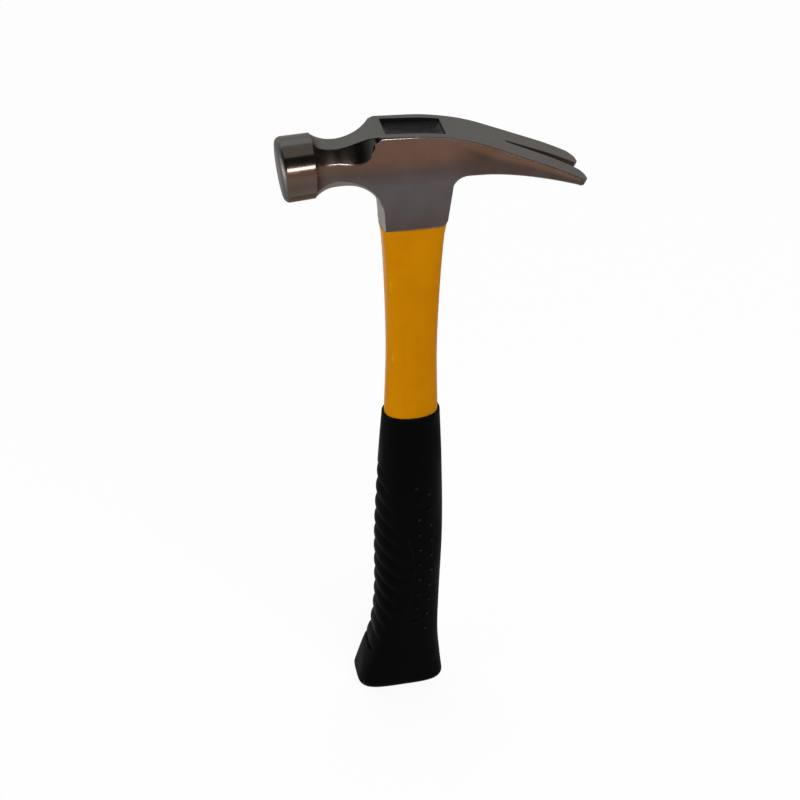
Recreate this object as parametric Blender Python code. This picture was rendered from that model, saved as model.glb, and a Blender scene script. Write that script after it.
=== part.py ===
"""Straight claw hammer with a glass-fibre handle, built as five separate solids.

Frame: the flat butt stands on Z = 0, the handle runs up the Z axis, the claw points to +X and the
striking face to -X. All sizes are in metres. The head's own heights are measured from the underside
of its socket, which sits HANDLE_REACH above the butt.
"""

import math

import bmesh
import bpy
from mathutils import Vector

# Fits
FIT_GAP = 0.0003  # clearance between neighbouring pieces

# Eye: a tapered rectangular hole through the head, widest at the crown so that the resin locks
EYE_TOP_LENGTH = 0.0270
EYE_TOP_WIDTH = 0.0153
EYE_TOP_SHIFT = 0.0005  # how far its upper end stands ahead of the handle axis
EYE_BOTTOM_LENGTH = 0.0210
EYE_BOTTOM_WIDTH = 0.0124

# Block of the head round the eye
HEAD_HEIGHT = 0.0475  # underside of the socket to the crown over the eye's centre
CHEEK_WALL = 0.00371  # steel beside the eye at the crown
CROWN_SLOPE = math.radians(3.7)  # fall of the crown towards the claw
CROWN_FRONT_WALL = 0.0046  # steel ahead of the eye at the crown
CROWN_FRONT_FLAT = 0.0190  # width of the crown at its front edge
CROWN_FRONT_ROUND = 0.0030  # length over which the crown rounds down to that edge
CROWN_FRONT_DROP = 0.0007  # how far it falls there
EDGE_BREAK = 0.0005  # rounding of the long upper edges
FRONT_EDGE_BREAK = 0.0013  # the same at the front of the cheeks
EDGE_FADE = 0.0240  # length over which the one fades into the other
UNDER_BREAK = 0.0010  # rounding of the long lower edges
PARTING = 0.0330  # underside of the socket to the parting line of the forging dies
SIDE_DRAFT = math.radians(3.7)  # how far the sides lean in below that line
PARTING_SHARES = (0.1, 0.9)  # the parting line keeps between these shares of a side's height

# Socket: the skirt round the lower end of the eye
SOCKET_FRONT_WALL = 0.0050  # steel ahead of the eye at the underside
SOCKET_REAR_WALL = 0.0053  # steel behind it
SOCKET_DRAFT = math.radians(3.5)
SOCKET_NOSE = 0.0014  # how far its ends stand out between the cheeks
SOCKET_NOSE_FLAT = 0.0030  # width of the flat middle of those ends
SOCKET_NOSE_ROUND = 0.25  # how far they bulge towards a quarter round
SOCKET_FRONT_TOE = 0.0018  # radius of the lower edge of its front end
SOCKET_REAR_TOE = 0.0046
TOE_SHARE = 0.9  # share of the wall that a toe may take

# Bell, with the striking face at its end
BELL_DIAMETER = 0.0292
BELL_REAR_DIAMETER = 0.0288
BELL_LENGTH = 0.0148
BELL_HEIGHT = 0.0321  # underside of the socket to the middle of the bell
BELL_TILT = math.radians(3.3)  # fall of the bell's axis
FACE_LEAN = math.radians(4.8)  # how far the striking face looks down
REAR_LEAN = math.radians(1.0)  # the same for the bell's rear edge
FACE_REACH = 0.0602  # handle axis to the striking face
FACE_CHAMFER = 0.0024
CHAMFER_ROUND = 0.7  # 0 is a flat chamfer, 1 a quarter round
FACE_CROWN = 0.0004  # rise of the face's flat middle over its rim
FACE_FLAT = 0.0150  # diameter of the flat middle

# Neck: eight-sided, thinnest at the throat
NECK_REACH = 0.0345  # handle axis to the throat
NECK_WIDTH = 0.0180
NECK_TOP = 0.0421  # underside of the socket to the top of the throat
NECK_BOTTOM = 0.0235
NECK_FLAT = 0.0096  # width of the throat's top and bottom flats
NECK_SHOULDER = 0.0056  # height of the upper chamfers at the throat
NECK_RUNOUT = 0.0104  # what they grow towards before they run out at the cheek
NECK_CHAMFER = 0.0045  # height of its lower chamfers
NECK_ROUND = 0.1  # how far the chamfers bulge towards a quarter round
NECK_RISE = 1.63  # power of the neck's climb to the crown: 1 is straight, 2 a parabola
NECK_FLARE = 2.4  # how sharply the neck opens to the bell
CROWN_CORNER = 0.0020  # depth of the chamfer where it runs out at the crown's front edge
ARCH_FOOT = 0.0098  # underside of the socket to the foot of the arch under the neck
ARCH_TURN = math.radians(72)  # how far round the arch the crown's front edge stands

# Claw
CLAW_REACH = 0.0780  # handle axis to the tips
CLAW_SLOPE = math.radians(23.6)
CROWN_ARC = 0.1000  # radius of the bend from the crown to the straight claw
CLAW_ROOT = 0.0259  # underside of the socket to the underside of the claw's root
CLAW_COVE = 0.0072  # radius between the socket and the claw
CLAW_BEND = 0.0310  # handle axis to where the claw's underside starts to fall
CLAW_FALL = 1.6  # power of that fall: 1 is straight, 2 a parabola
CLAW_TIP_WIDTH = 0.0283
CLAW_TIP_THICKNESS = 0.0028
NOSE_LENGTH = 0.0200  # last stretch of the claw, where its top bends down once more
NOSE_FALL = 0.0015
SLOT_REACH = 0.0420  # handle axis to the inner end of the nail slot
SLOT_END = 0.0015  # width of the slot at its inner end
SLOT_MOUTH = 0.0064  # width of the slot at the tips
TIP_ROUND = 0.0080  # length over which the tips round off
TIP_OUTER_SETBACK = 0.0040
TIP_INNER_SETBACK = 0.0022
TIP_OUTER_SHARE = 0.4  # share of a tip's width that its outer rounding takes
TIP_INNER_SHARE = 0.35
TIP_UNDERCUT = 0.0012  # how far the lower edge of a tip stands behind its upper edge

# Resin in the eye
BOND_LINE = 0.0016  # resin between the core and the eye at the underside
RESIN_RECESS = 0.0031  # crown down to the resin's surface
CORE_COVER = 0.0040  # resin over the end of the core

# Handle: walls are the plastic beside the core, towards the face and the claw
HANDLE_REACH = 0.2829  # butt to the underside of the socket
JACKET_LEDGE = 0.0002  # how far the jacket's shoulder stands inside the socket's front
JACKET_CHEEK_LEDGE = 0.0005  # the same, beside the cheeks
JACKET_TOP_BREAK = 0.0006
JACKET_LIP = 0.0066  # shoulder down to the foot of its lip
LIP_WALL = 0.0050
JACKET_FLARE = 0.0336  # shoulder down to where the flare has nearly gone
FLARE_WALL = 0.0036
WAIST_HEIGHT = 0.2140
WAIST_WALL = 0.0030
TAIL_WALL = 0.0040  # from the top of the grip down
SIDE_WALL = 0.0039  # jacket over the core's flat sides
JACKET_FOOT = 0.0120  # butt to the lower end of jacket and core
CORE_BREAK = 0.0006

# Grip: walls are the rubber over the jacket, towards the face and the claw
GRIP_LENGTH = 0.1775
RIM_WALL = 0.0008
RIM_BREAK = 0.0005
COLLAR_LENGTH = 0.0320  # smooth collar between the rim and the first rib
COLLAR_WALL = 0.0026
SWELL_HEIGHT = 0.1020
SWELL_WALL = 0.0041
SWELL_SIDE_WALL = 0.0039
PALM_HEIGHT = 0.0580  # slim part above the flare
PALM_WALL = 0.0035
HEEL_HEIGHT = 0.0340
HEEL_WALL = 0.0045
SPREAD_HEIGHT = 0.0160
SPREAD_WALL = 0.0076
BUTT_WALL = 0.0098
BUTT_SIDE_WALL = 0.0049
BUTT_ROUND = 0.0042

# How far the grip's middle leans towards the striking face
SWELL_LEAN = 0.0008
PALM_LEAN = 0.0015
HEEL_LEAN = 0.0029
SPREAD_LEAN = 0.0048
BUTT_LEAN = 0.0058

# Finger ribs on the side towards the striking face
RIB_COUNT = 12
RIB_DEPTH = 0.0009
RIB_FOOT = 0.0255  # butt to the lowest notch
RIB_DROP = 0.0090  # how far a rib falls from the grip's edge to its flat side
RIB_NARROW = math.radians(43)  # how far round the oval the first and last ribs reach
RIB_BROAD = math.radians(86)  # the same, in the middle of the grip
RIB_RUNOUT = math.radians(29)  # angle over which a notch fades out
NOTCH_SHARPNESS = 1.2

# Squareness of the oval sections: 2 is an ellipse and more is squarer
CORE_SQUARENESS = 2.5
SHOULDER_SQUARENESS = 4.0
WAIST_SQUARENESS = 2.5
GRIP_SQUARENESS = 2.2
BUTT_SQUARENESS = 4.0

# Derived places of the head
HEAD_BASE = HANDLE_REACH
HEAD_TOP = HEAD_BASE + HEAD_HEIGHT
CHEEK_HALF = EYE_TOP_WIDTH / 2 + CHEEK_WALL
EYE_FRONT = EYE_TOP_SHIFT + EYE_TOP_LENGTH / 2
CROWN_FRONT = EYE_FRONT + CROWN_FRONT_WALL
SOCKET_FRONT = EYE_BOTTOM_LENGTH / 2 + SOCKET_FRONT_WALL
SOCKET_REAR = EYE_BOTTOM_LENGTH / 2 + SOCKET_REAR_WALL
SOCKET_HALF = CHEEK_HALF - math.tan(SIDE_DRAFT) * PARTING
BELL_CENTRE = Vector((BELL_LENGTH / 2 - FACE_REACH, 0, HEAD_BASE + BELL_HEIGHT))

# Derived places of the handle
CORE_HALF_LENGTH = EYE_BOTTOM_LENGTH / 2 - BOND_LINE
CORE_HALF_WIDTH = EYE_BOTTOM_WIDTH / 2 - BOND_LINE
CORE_TOP = HEAD_TOP - RESIN_RECESS - CORE_COVER
BORE_HALF_LENGTH = CORE_HALF_LENGTH + FIT_GAP
BORE_HALF_WIDTH = CORE_HALF_WIDTH + FIT_GAP
JACKET_TOP = HANDLE_REACH - FIT_GAP
RIB_TOP = GRIP_LENGTH - COLLAR_LENGTH

# How finely curves are cut
SPANS = (3, 2, 2, 2, 2, 3)  # steps between the edge lines of half a head section
BELL_ANGLES = (10, 31, 63, 90, 117, 149, 170)  # degrees from the top where those lines lie on the bell
FLARE_SHARES = (0.1, 0.22, 0.38, 0.6)  # places of the sections between bell and throat
NECK_STEPS = 9
QUARTER_TURNS = (0, 30, 60, 90)  # degrees round the socket's toes and the claw's cove
EYE_STEPS = 4
ROOT_STEPS = 4
SLOT_STEPS = 5
TIP_SHARES = (0.3, 0.55, 0.78, 0.92, 1.0)  # places of the sections in the rounded tips
HANDLE_COLUMNS = 36
JACKET_STEPS = 14
COLLAR_STEPS = 5
ROWS_PER_RIB = 4
BUTT_STEPS = 4
SMOOTH_ANGLE = math.radians(30)  # edges sharper than this stay sharp


def clear_scene():
    for obj in list(bpy.data.objects):
        bpy.data.objects.remove(obj, do_unlink=True)


def surface(name, colour, roughness, metallic):
    material = bpy.data.materials.new(name)
    material.use_nodes = True
    shader = material.node_tree.nodes["Principled BSDF"]
    shader.inputs["Base Color"].default_value = (*colour, 1.0)
    shader.inputs["Roughness"].default_value = roughness
    shader.inputs["Metallic"].default_value = metallic
    return material


def finish_object(name, mesh_data, material):
    """Turn a finished bmesh into a named, smooth-shaded object."""
    bmesh.ops.recalc_face_normals(mesh_data, faces=mesh_data.faces)
    mesh = bpy.data.meshes.new(name)
    mesh_data.to_mesh(mesh)
    mesh_data.free()
    mesh.materials.append(material)
    mesh.shade_smooth()
    mesh.set_sharp_from_angle(angle=SMOOTH_ANGLE)
    obj = bpy.data.objects.new(name, mesh)
    bpy.context.scene.collection.objects.link(obj)
    return obj


def mix(a, b, share):
    return a + (b - a) * share


def ease(share):
    """Smooth step from 0 to 1, flat at both ends."""
    share = min(max(share, 0.0), 1.0)
    return share * share * (3 - 2 * share)


def spline(keys, height):
    """Smooth curve through (height, value) keys, level past the ends."""
    keys = sorted(keys, reverse=True)
    heights = [key[0] for key in keys]
    values = [key[1] for key in keys]
    slopes = []
    for i in range(len(keys)):
        before = max(i - 1, 0)
        after = min(i + 1, len(keys) - 1)
        slopes.append((values[after] - values[before]) / (heights[after] - heights[before]))
    if height >= heights[0]:
        return values[0]
    if height <= heights[-1]:
        return values[-1]
    i = next(k for k in range(len(keys) - 1) if heights[k + 1] <= height)
    step = heights[i + 1] - heights[i]
    t = (height - heights[i]) / step
    return (
        (2 * t**3 - 3 * t**2 + 1) * values[i]
        + (t**3 - 2 * t**2 + t) * step * slopes[i]
        + (3 * t**2 - 2 * t**3) * values[i + 1]
        + (t**3 - t**2) * step * slopes[i + 1]
    )


def crown_height(x):
    """Height of the top face: rounded at the front, a gentle slope, a bend, then straight to the nose."""
    if x <= 0:
        past_round = max(CROWN_FRONT_ROUND - CROWN_FRONT - x, 0) / CROWN_FRONT_ROUND
        return HEAD_TOP - math.tan(CROWN_SLOPE) * x - CROWN_FRONT_DROP * past_round**2
    bend_end = CROWN_ARC * (math.sin(CLAW_SLOPE) - math.sin(CROWN_SLOPE))
    reached = math.asin(math.sin(CROWN_SLOPE) + min(x, bend_end) / CROWN_ARC)
    drop = CROWN_ARC * (math.cos(CROWN_SLOPE) - math.cos(reached))
    drop += math.tan(CLAW_SLOPE) * max(x - bend_end, 0)
    past_nose = max(x - CLAW_REACH + NOSE_LENGTH, 0) / NOSE_LENGTH
    return HEAD_TOP - drop - NOSE_FALL * past_nose**2


def claw_half_width(x):
    """Half the width of the head from the eye to the tips: it widens steadily along the claw."""
    start = EYE_TOP_LENGTH / 2
    share = max(x - start, 0) / (CLAW_REACH - start)
    return mix(CHEEK_HALF, CLAW_TIP_WIDTH / 2, share)


def claw_underside(x):
    """Height of the claw's underside: level at the root, then falling to leave the tip its thickness."""
    root = HEAD_BASE + CLAW_ROOT
    tip = crown_height(CLAW_REACH) - CLAW_TIP_THICKNESS
    share = max(x - CLAW_BEND, 0) / (CLAW_REACH - CLAW_BEND)
    return mix(root, tip, share**CLAW_FALL)


def slot_half_width(x):
    share = (x - SLOT_REACH) / (CLAW_REACH - SLOT_REACH)
    return mix(SLOT_END, SLOT_MOUTH, share) / 2


def edge_break(x):
    """Rounding of the upper edges, which is softest at the front of the cheeks."""
    return mix(FRONT_EDGE_BREAK, EDGE_BREAK, ease((x + CROWN_FRONT) / EDGE_FADE))


def parting_height(x):
    """Height of the parting line: level as far as the eye, then straight to the tips."""
    start = EYE_TOP_LENGTH / 2
    share = max(x - start, 0) / (CLAW_REACH - start)
    return mix(HEAD_BASE + PARTING, crown_height(CLAW_REACH), share)


def lower_edge(side, under, inward, depth):
    """Lower edge of a side: depth into the steel from the underside, leaning in below the parting line."""
    x = under[0] + inward[0] * depth
    z = under[1] + inward[1] * depth
    lean = math.tan(SIDE_DRAFT) * max(parting_height(x) - z, 0)
    return Vector((x, side - lean, z))


def corner(start, end, knee, count, roundness):
    """Points between two edge lines: a flat chamfer at roundness 0, a quarter round at 1."""
    centre = start + end - knee
    points = []
    for i in range(1, count):
        angle = math.pi / 2 * i / count
        arc = centre + (start - centre) * math.cos(angle) + (end - centre) * math.sin(angle)
        points.append(start.lerp(end, i / count).lerp(arc, roundness))
    return points


def straight(start, end, count):
    return [start.lerp(end, i / count) for i in range(1, count)]


def half_section(top, top_flat, shoulder, side, side_lower, under, under_flat, inner, rounds):
    """Half a section of the head, from the middle of the top round the +Y side to the bottom.

    top, shoulder and under are (x, z) of the top face, of the side's upper edge and of the underside.
    top_flat, side and under_flat are half-widths, and side_lower is the side's lower edge. inner holds
    the half-widths of the eye's or slot's edge lines.
    """
    top_inner = Vector((top[0], inner[0], top[1]))
    top_edge = Vector((top[0], top_flat, top[1]))
    side_upper = Vector((shoulder[0], side, shoulder[1]))
    under_edge = Vector((under[0], under_flat, under[1]))
    under_inner = Vector((under[0], inner[1], under[1]))
    share = (side_upper.z - parting_height(side_upper.x)) / (side_upper.z - side_lower.z)
    middle = side_upper.lerp(side_lower, min(max(share, PARTING_SHARES[0]), PARTING_SHARES[1]))
    middle.y = side
    upper_knee = Vector(((top[0] + shoulder[0]) / 2, side, top[1]))
    lower_knee = Vector((under[0], side_lower.y, under[1]))
    points = [top_inner, *straight(top_inner, top_edge, SPANS[0]), top_edge]
    points += [*corner(top_edge, side_upper, upper_knee, SPANS[1], rounds[0]), side_upper]
    points += [*straight(side_upper, middle, SPANS[2]), middle]
    points += [*straight(middle, side_lower, SPANS[3]), side_lower]
    points += [*corner(side_lower, under_edge, lower_knee, SPANS[4], rounds[1]), under_edge]
    points += [*straight(under_edge, under_inner, SPANS[5]), under_inner]
    return points


def bell_section(back, radius):
    """Half a circle on the bell's axis, back behind the face, cut where the other sections are."""
    angles = []
    for first, last, count in zip(BELL_ANGLES, BELL_ANGLES[1:], SPANS):
        angles += [mix(first, last, i / count) for i in range(count)]
    angles.append(BELL_ANGLES[-1])
    along = back - BELL_LENGTH / 2
    lean = mix(FACE_LEAN, REAR_LEAN, back / BELL_LENGTH)
    points = []
    for angle in angles:
        y = radius * math.sin(math.radians(angle))
        z = radius * math.cos(math.radians(angle))
        x_tilted = along * math.cos(BELL_TILT) - z * math.sin(lean)
        z_tilted = along * math.sin(BELL_TILT) + z * math.cos(lean)
        points.append(BELL_CENTRE + Vector((x_tilted, y, z_tilted)))
    return points


def arch_point(angle):
    """A point on the arch under the neck and the direction into the steel; 0 is the throat."""
    foot_x = -wall_x(SOCKET_FRONT, ARCH_FOOT)
    run = NECK_REACH + foot_x
    rise = NECK_BOTTOM - ARCH_FOOT
    point = (-NECK_REACH + run * math.sin(angle), HEAD_BASE + ARCH_FOOT + rise * math.cos(angle))
    normal = Vector((rise * math.sin(angle), run * math.cos(angle))).normalized()
    return point, normal


def neck_section(share):
    """Half a section between the throat (share 0) and the front edge of the crown (share 1)."""
    x = mix(-NECK_REACH, -CROWN_FRONT, share)
    top = mix(HEAD_BASE + NECK_TOP, crown_height(-CROWN_FRONT), share**NECK_RISE)
    top_flat = mix(NECK_FLAT, CROWN_FRONT_FLAT, share**4) / 2
    under, inward = arch_point(ARCH_TURN * share)
    side = mix(NECK_WIDTH / 2, CHEEK_HALF, ease(share))
    chamfer = mix(mix(NECK_SHOULDER, NECK_RUNOUT, share), CROWN_CORNER, share**6)
    return half_section(
        top=(x, top),
        top_flat=top_flat,
        shoulder=(x, top - chamfer),
        side=side,
        side_lower=lower_edge(side, under, inward, mix(NECK_CHAMFER, SOCKET_NOSE, share)),
        under=under,
        under_flat=mix(NECK_FLAT, SOCKET_NOSE_FLAT, share) / 2,
        inner=(
            mix(NECK_FLAT / 4, EYE_TOP_WIDTH / 2, share**4),
            mix(NECK_FLAT, SOCKET_NOSE_FLAT, share) / 4,
        ),
        rounds=(NECK_ROUND * (1 - share), mix(NECK_ROUND, SOCKET_NOSE_ROUND, share)),
    )


def block_section(top_x, under, inward, share):
    """Half a section through the block round the eye.

    Its underside may lie anywhere on the socket: share is 0 on the bulging ends, 1 on the flat underside.
    """
    top = crown_height(top_x)
    side = claw_half_width(top_x)
    behind_front = ease((top_x + CROWN_FRONT) / CROWN_FRONT_ROUND)
    side_lower = lower_edge(side, under, inward, mix(SOCKET_NOSE, UNDER_BREAK, share))
    under_flat = mix(SOCKET_NOSE_FLAT / 2, side_lower.y - UNDER_BREAK, share)
    return half_section(
        top=(top_x, top),
        top_flat=mix(CROWN_FRONT_FLAT / 2, side - edge_break(top_x), behind_front),
        shoulder=(top_x, top - mix(CROWN_CORNER, edge_break(top_x), behind_front)),
        side=side,
        side_lower=side_lower,
        under=under,
        under_flat=under_flat,
        inner=(EYE_TOP_WIDTH / 2, mix(under_flat / 2, EYE_BOTTOM_WIDTH / 2, share)),
        rounds=(behind_front, mix(SOCKET_NOSE_ROUND, 1, share)),
    )


def wall_x(foot, height):
    """Distance of a socket wall from the handle axis at a height over the underside."""
    return foot + math.tan(SOCKET_DRAFT) * height


def toe_points(side, foot, toe):
    """Points, inward directions and shares round the lower edge of a socket wall, from the wall down."""
    points = []
    for turn in QUARTER_TURNS:
        angle = math.radians(turn)
        x = side * (foot - toe + toe * math.cos(angle))
        point = (x, HEAD_BASE + toe * (1 - math.sin(angle)))
        points.append((point, (-side * math.cos(angle), math.sin(angle)), math.sin(angle) ** 2))
    return points


def cove_points():
    """The same up the rear wall and round the cove under the claw's root, and where the cove ends."""
    cove_height = CLAW_ROOT - CLAW_COVE
    cove_x = wall_x(SOCKET_REAR, cove_height) + CLAW_COVE
    points = []
    for turn in QUARTER_TURNS:
        angle = math.radians(turn)
        inward = (-math.cos(angle), math.sin(angle))
        point = (cove_x + CLAW_COVE * inward[0], HEAD_BASE + cove_height + CLAW_COVE * inward[1])
        points.append((point, inward, math.sin(angle) ** 2))
    return points, cove_x


def block_sections():
    """Sections from the crown's front edge back to the root of the claw."""
    eye_rear = EYE_TOP_LENGTH - EYE_FRONT
    eye_bottom = EYE_BOTTOM_LENGTH / 2
    sections = []
    foot, foot_inward = arch_point(math.pi / 2)
    front_toe = min(SOCKET_FRONT_TOE, TOE_SHARE * SOCKET_FRONT_WALL)
    rear_toe = min(SOCKET_REAR_TOE, TOE_SHARE * SOCKET_REAR_WALL)
    front = [(foot, foot_inward, 0.0), *toe_points(-1, SOCKET_FRONT, front_toe)]
    for i, (under, inward, share) in enumerate(front):
        top_x = mix(-CROWN_FRONT, -EYE_FRONT, (i + 1) / (len(front) + 1))
        sections.append(block_section(top_x, under, inward, share))
    eye_first = len(sections)
    for i in range(EYE_STEPS + 1):
        top_x = mix(-EYE_FRONT, eye_rear, i / EYE_STEPS)
        under_x = mix(-eye_bottom, eye_bottom, i / EYE_STEPS)
        sections.append(block_section(top_x, (under_x, HEAD_BASE), (0, 1), 1.0))
    eye_last = len(sections) - 1
    cove, cove_x = cove_points()
    rear = [*reversed(toe_points(1, SOCKET_REAR, rear_toe)), *cove]
    for i, (under, inward, share) in enumerate(rear):
        top_x = mix(eye_rear, cove_x, (i + 1) / len(rear))
        sections.append(block_section(top_x, under, inward, share))
    return sections, eye_first, eye_last, cove_x


def tip_setback(y, x, level):
    """How far a point lies behind the straight end line; level is 0 on the underside and 1 on top."""
    inner = slot_half_width(x)
    share = (abs(y) - inner) / (claw_half_width(x) - inner)
    outer_part = TIP_OUTER_SETBACK * max((share - 1) / TIP_OUTER_SHARE + 1, 0) ** 2
    inner_part = TIP_INNER_SETBACK * max(1 - share / TIP_INNER_SHARE, 0) ** 2
    setback = outer_part + inner_part + TIP_UNDERCUT * (1 - level)
    return setback * (max(x - CLAW_REACH + TIP_ROUND, 0) / TIP_ROUND) ** 2


def claw_section(x, root_x):
    """Half a section of the claw at x, with the slot's edges drawn in from the eye."""
    share = (x - root_x) / (SLOT_REACH - root_x)
    if share < 1:
        inner = (
            mix(EYE_TOP_WIDTH / 2, SLOT_END / 2, share),
            mix(EYE_BOTTOM_WIDTH / 2, SLOT_END / 2, share),
        )
    else:
        inner = (slot_half_width(x), slot_half_width(x))
    side = claw_half_width(x)
    thickness = crown_height(x) - claw_underside(x)
    upper_break = min(EDGE_BREAK, thickness / 4)
    lower_break = min(UNDER_BREAK, thickness / 4)
    under = (x, claw_underside(x))
    side_lower = lower_edge(side, under, (0, 1), lower_break)
    points = half_section(
        top=(x, crown_height(x)),
        top_flat=side - upper_break,
        shoulder=(x, crown_height(x) - upper_break),
        side=side,
        side_lower=side_lower,
        under=under,
        under_flat=side_lower.y - lower_break,
        inner=inner,
        rounds=(1.0, 1.0),
    )
    for point in points:
        level = (point.z - claw_underside(x)) / thickness
        point.x = x - tip_setback(point.y, x, level)
        point.z = mix(claw_underside(point.x), crown_height(point.x), level)
    return points


def bell_sections():
    """Sections from the striking face over the bell and down the flare to the throat."""
    radius = BELL_DIAMETER / 2
    rear_radius = BELL_REAR_DIAMETER / 2
    half_turn = FACE_CHAMFER * mix(0.5, 1 - math.sqrt(0.5), CHAMFER_ROUND)
    sections = [
        bell_section(0, FACE_FLAT / 2),
        bell_section(FACE_CROWN, radius - FACE_CHAMFER),
        bell_section(FACE_CROWN + half_turn, radius - half_turn),
        bell_section(FACE_CROWN + FACE_CHAMFER, radius),
        bell_section(BELL_LENGTH / 2, mix(radius, rear_radius, 0.5)),
        bell_section(BELL_LENGTH, rear_radius),
    ]
    rim = sections[-1]
    throat = neck_section(0)
    for share in FLARE_SHARES:
        narrowed = 1 - (1 - share) ** NECK_FLARE
        ring = [outer.lerp(slim, narrowed) for outer, slim in zip(rim, throat)]
        for point, outer, slim in zip(ring, rim, throat):
            point.x = mix(outer.x, slim.x, share)
        sections.append(ring)
    return sections


def head_sections():
    """All half sections of the head from the striking face to the tips, with the eye's and slot's places."""
    bell = bell_sections()
    neck = [neck_section(i / NECK_STEPS) for i in range(NECK_STEPS + 1)]
    block, eye_first, eye_last, root_x = block_sections()
    before_slot = [mix(root_x, SLOT_REACH, i / ROOT_STEPS) for i in range(1, ROOT_STEPS)]
    tip_start = CLAW_REACH - TIP_ROUND
    along_slot = [mix(SLOT_REACH, tip_start, i / SLOT_STEPS) for i in range(SLOT_STEPS + 1)]
    along_tip = [mix(tip_start, CLAW_REACH, share) for share in TIP_SHARES]
    claw = [claw_section(x, root_x) for x in before_slot + along_slot + along_tip]
    eye_offset = len(bell) + len(neck)
    slot_first = eye_offset + len(block) + len(before_slot)
    sections = bell + neck + block + claw
    return sections, (eye_offset + eye_first, eye_offset + eye_last), slot_first


def build_head(material):
    """Skin the sections, leaving the eye and the slot open, and line both with walls."""
    sections, (eye_first, eye_last), slot_first = head_sections()
    bm = bmesh.new()
    rings = []
    for half in sections:
        far = [bm.verts.new(point) for point in half]
        near = [bm.verts.new((point.x, -point.y, point.z)) for point in reversed(half)]
        rings.append(far + near)
    last = len(rings) - 1
    count = len(rings[0])
    low = count // 2 - 1
    gaps = [*range(eye_first, eye_last), *range(slot_first, last)]
    for i in range(last):
        for k in range(count):
            if i in gaps and k in (low, count - 1):
                continue
            n = (k + 1) % count
            bm.faces.new((rings[i][k], rings[i][n], rings[i + 1][n], rings[i + 1][k]))
    for i in gaps:
        for top, bottom in ((0, low), (count - 1, low + 1)):
            wall = (rings[i][top], rings[i + 1][top], rings[i + 1][bottom], rings[i][bottom])
            bm.faces.new(wall)
    for i in (eye_first, eye_last, slot_first):
        ring = rings[i]
        bm.faces.new((ring[0], ring[count - 1], ring[low + 1], ring[low]))
    bm.faces.new(rings[0])
    bm.faces.new(rings[last][: low + 1])
    bm.faces.new(rings[last][low + 1 :])
    return finish_object("hammer_head", bm, material)


def oval_row(height, half_length, half_width, squareness, centre=0.0):
    """A row of points round a squared oval that lies level."""
    points = []
    for k in range(HANDLE_COLUMNS):
        angle = 2 * math.pi * k / HANDLE_COLUMNS
        points.append(oval_point(angle, height, half_length, half_width, squareness, centre))
    return points


def oval_point(angle, height, half_length, half_width, squareness, centre):
    c = math.cos(angle)
    s = math.sin(angle)
    x = math.copysign(abs(c) ** (2 / squareness), c)
    y = math.copysign(abs(s) ** (2 / squareness), s)
    return Vector((centre + half_length * x, half_width * y, height))


def skin(bm, rows, closed_ends):
    """Join rows of points into a tube, with flat ends where asked, and return its rings."""
    rings = [[bm.verts.new(point) for point in row] for row in rows]
    for upper, lower in zip(rings, rings[1:]):
        join_rings(bm, upper, lower)
    if closed_ends[0]:
        bm.faces.new(rings[0])
    if closed_ends[1]:
        bm.faces.new(rings[-1])
    return rings


def join_rings(bm, first, second):
    for k in range(len(first)):
        n = (k + 1) % len(first)
        bm.faces.new((first[k], first[n], second[n], second[k]))


def core_row(height, clearance):
    """A row round the core, or round a bore that clears it."""
    return oval_row(height, CORE_HALF_LENGTH + clearance, CORE_HALF_WIDTH + clearance, CORE_SQUARENESS)


def build_core(material):
    bm = bmesh.new()
    rows = [
        core_row(CORE_TOP, -CORE_BREAK),
        core_row(CORE_TOP - CORE_BREAK, 0),
        core_row(HANDLE_REACH, 0),
        core_row(JACKET_FOOT + CORE_BREAK, 0),
        core_row(JACKET_FOOT, -CORE_BREAK),
    ]
    skin(bm, rows, (True, True))
    return finish_object("fiberglass_core", bm, material)


def eye_half_sizes(height):
    """Half-length, half-width and centre of the eye at a height, where its walls stand closest together."""
    share = (height - HEAD_BASE) / (crown_height(-EYE_FRONT) - HEAD_BASE)
    length = mix(EYE_BOTTOM_LENGTH, EYE_TOP_LENGTH, share) / 2
    width = mix(EYE_BOTTOM_WIDTH, EYE_TOP_WIDTH, share) / 2
    return length, width, -EYE_TOP_SHIFT * share


def resin_row(height, slope):
    """A rectangular row that clears the eye, with a point for each column of the core's rows."""
    points = []
    for k in range(HANDLE_COLUMNS):
        angle = 2 * math.pi * k / HANDLE_COLUMNS
        reach = max(abs(math.cos(angle)), abs(math.sin(angle)))
        x_share = math.cos(angle) / reach
        y_share = math.sin(angle) / reach
        level = height - math.tan(slope) * x_share * EYE_TOP_LENGTH / 2
        length, width, centre = eye_half_sizes(level)
        x = centre + x_share * (length - FIT_GAP)
        points.append(Vector((x, y_share * (width - FIT_GAP), level)))
    return points


def build_resin(material):
    """The block of cured resin: it fills the tapered eye round and over the end of the core."""
    bm = bmesh.new()
    rows = [resin_row(HEAD_TOP - RESIN_RECESS, CROWN_SLOPE), resin_row(HEAD_BASE, 0)]
    outside = skin(bm, rows, (True, False))
    pocket_rows = [core_row(HEAD_BASE, FIT_GAP), core_row(CORE_TOP + FIT_GAP, FIT_GAP)]
    pocket = skin(bm, pocket_rows, (False, True))
    join_rings(bm, outside[-1], pocket[0])
    return finish_object("eye_epoxy", bm, material)


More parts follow.
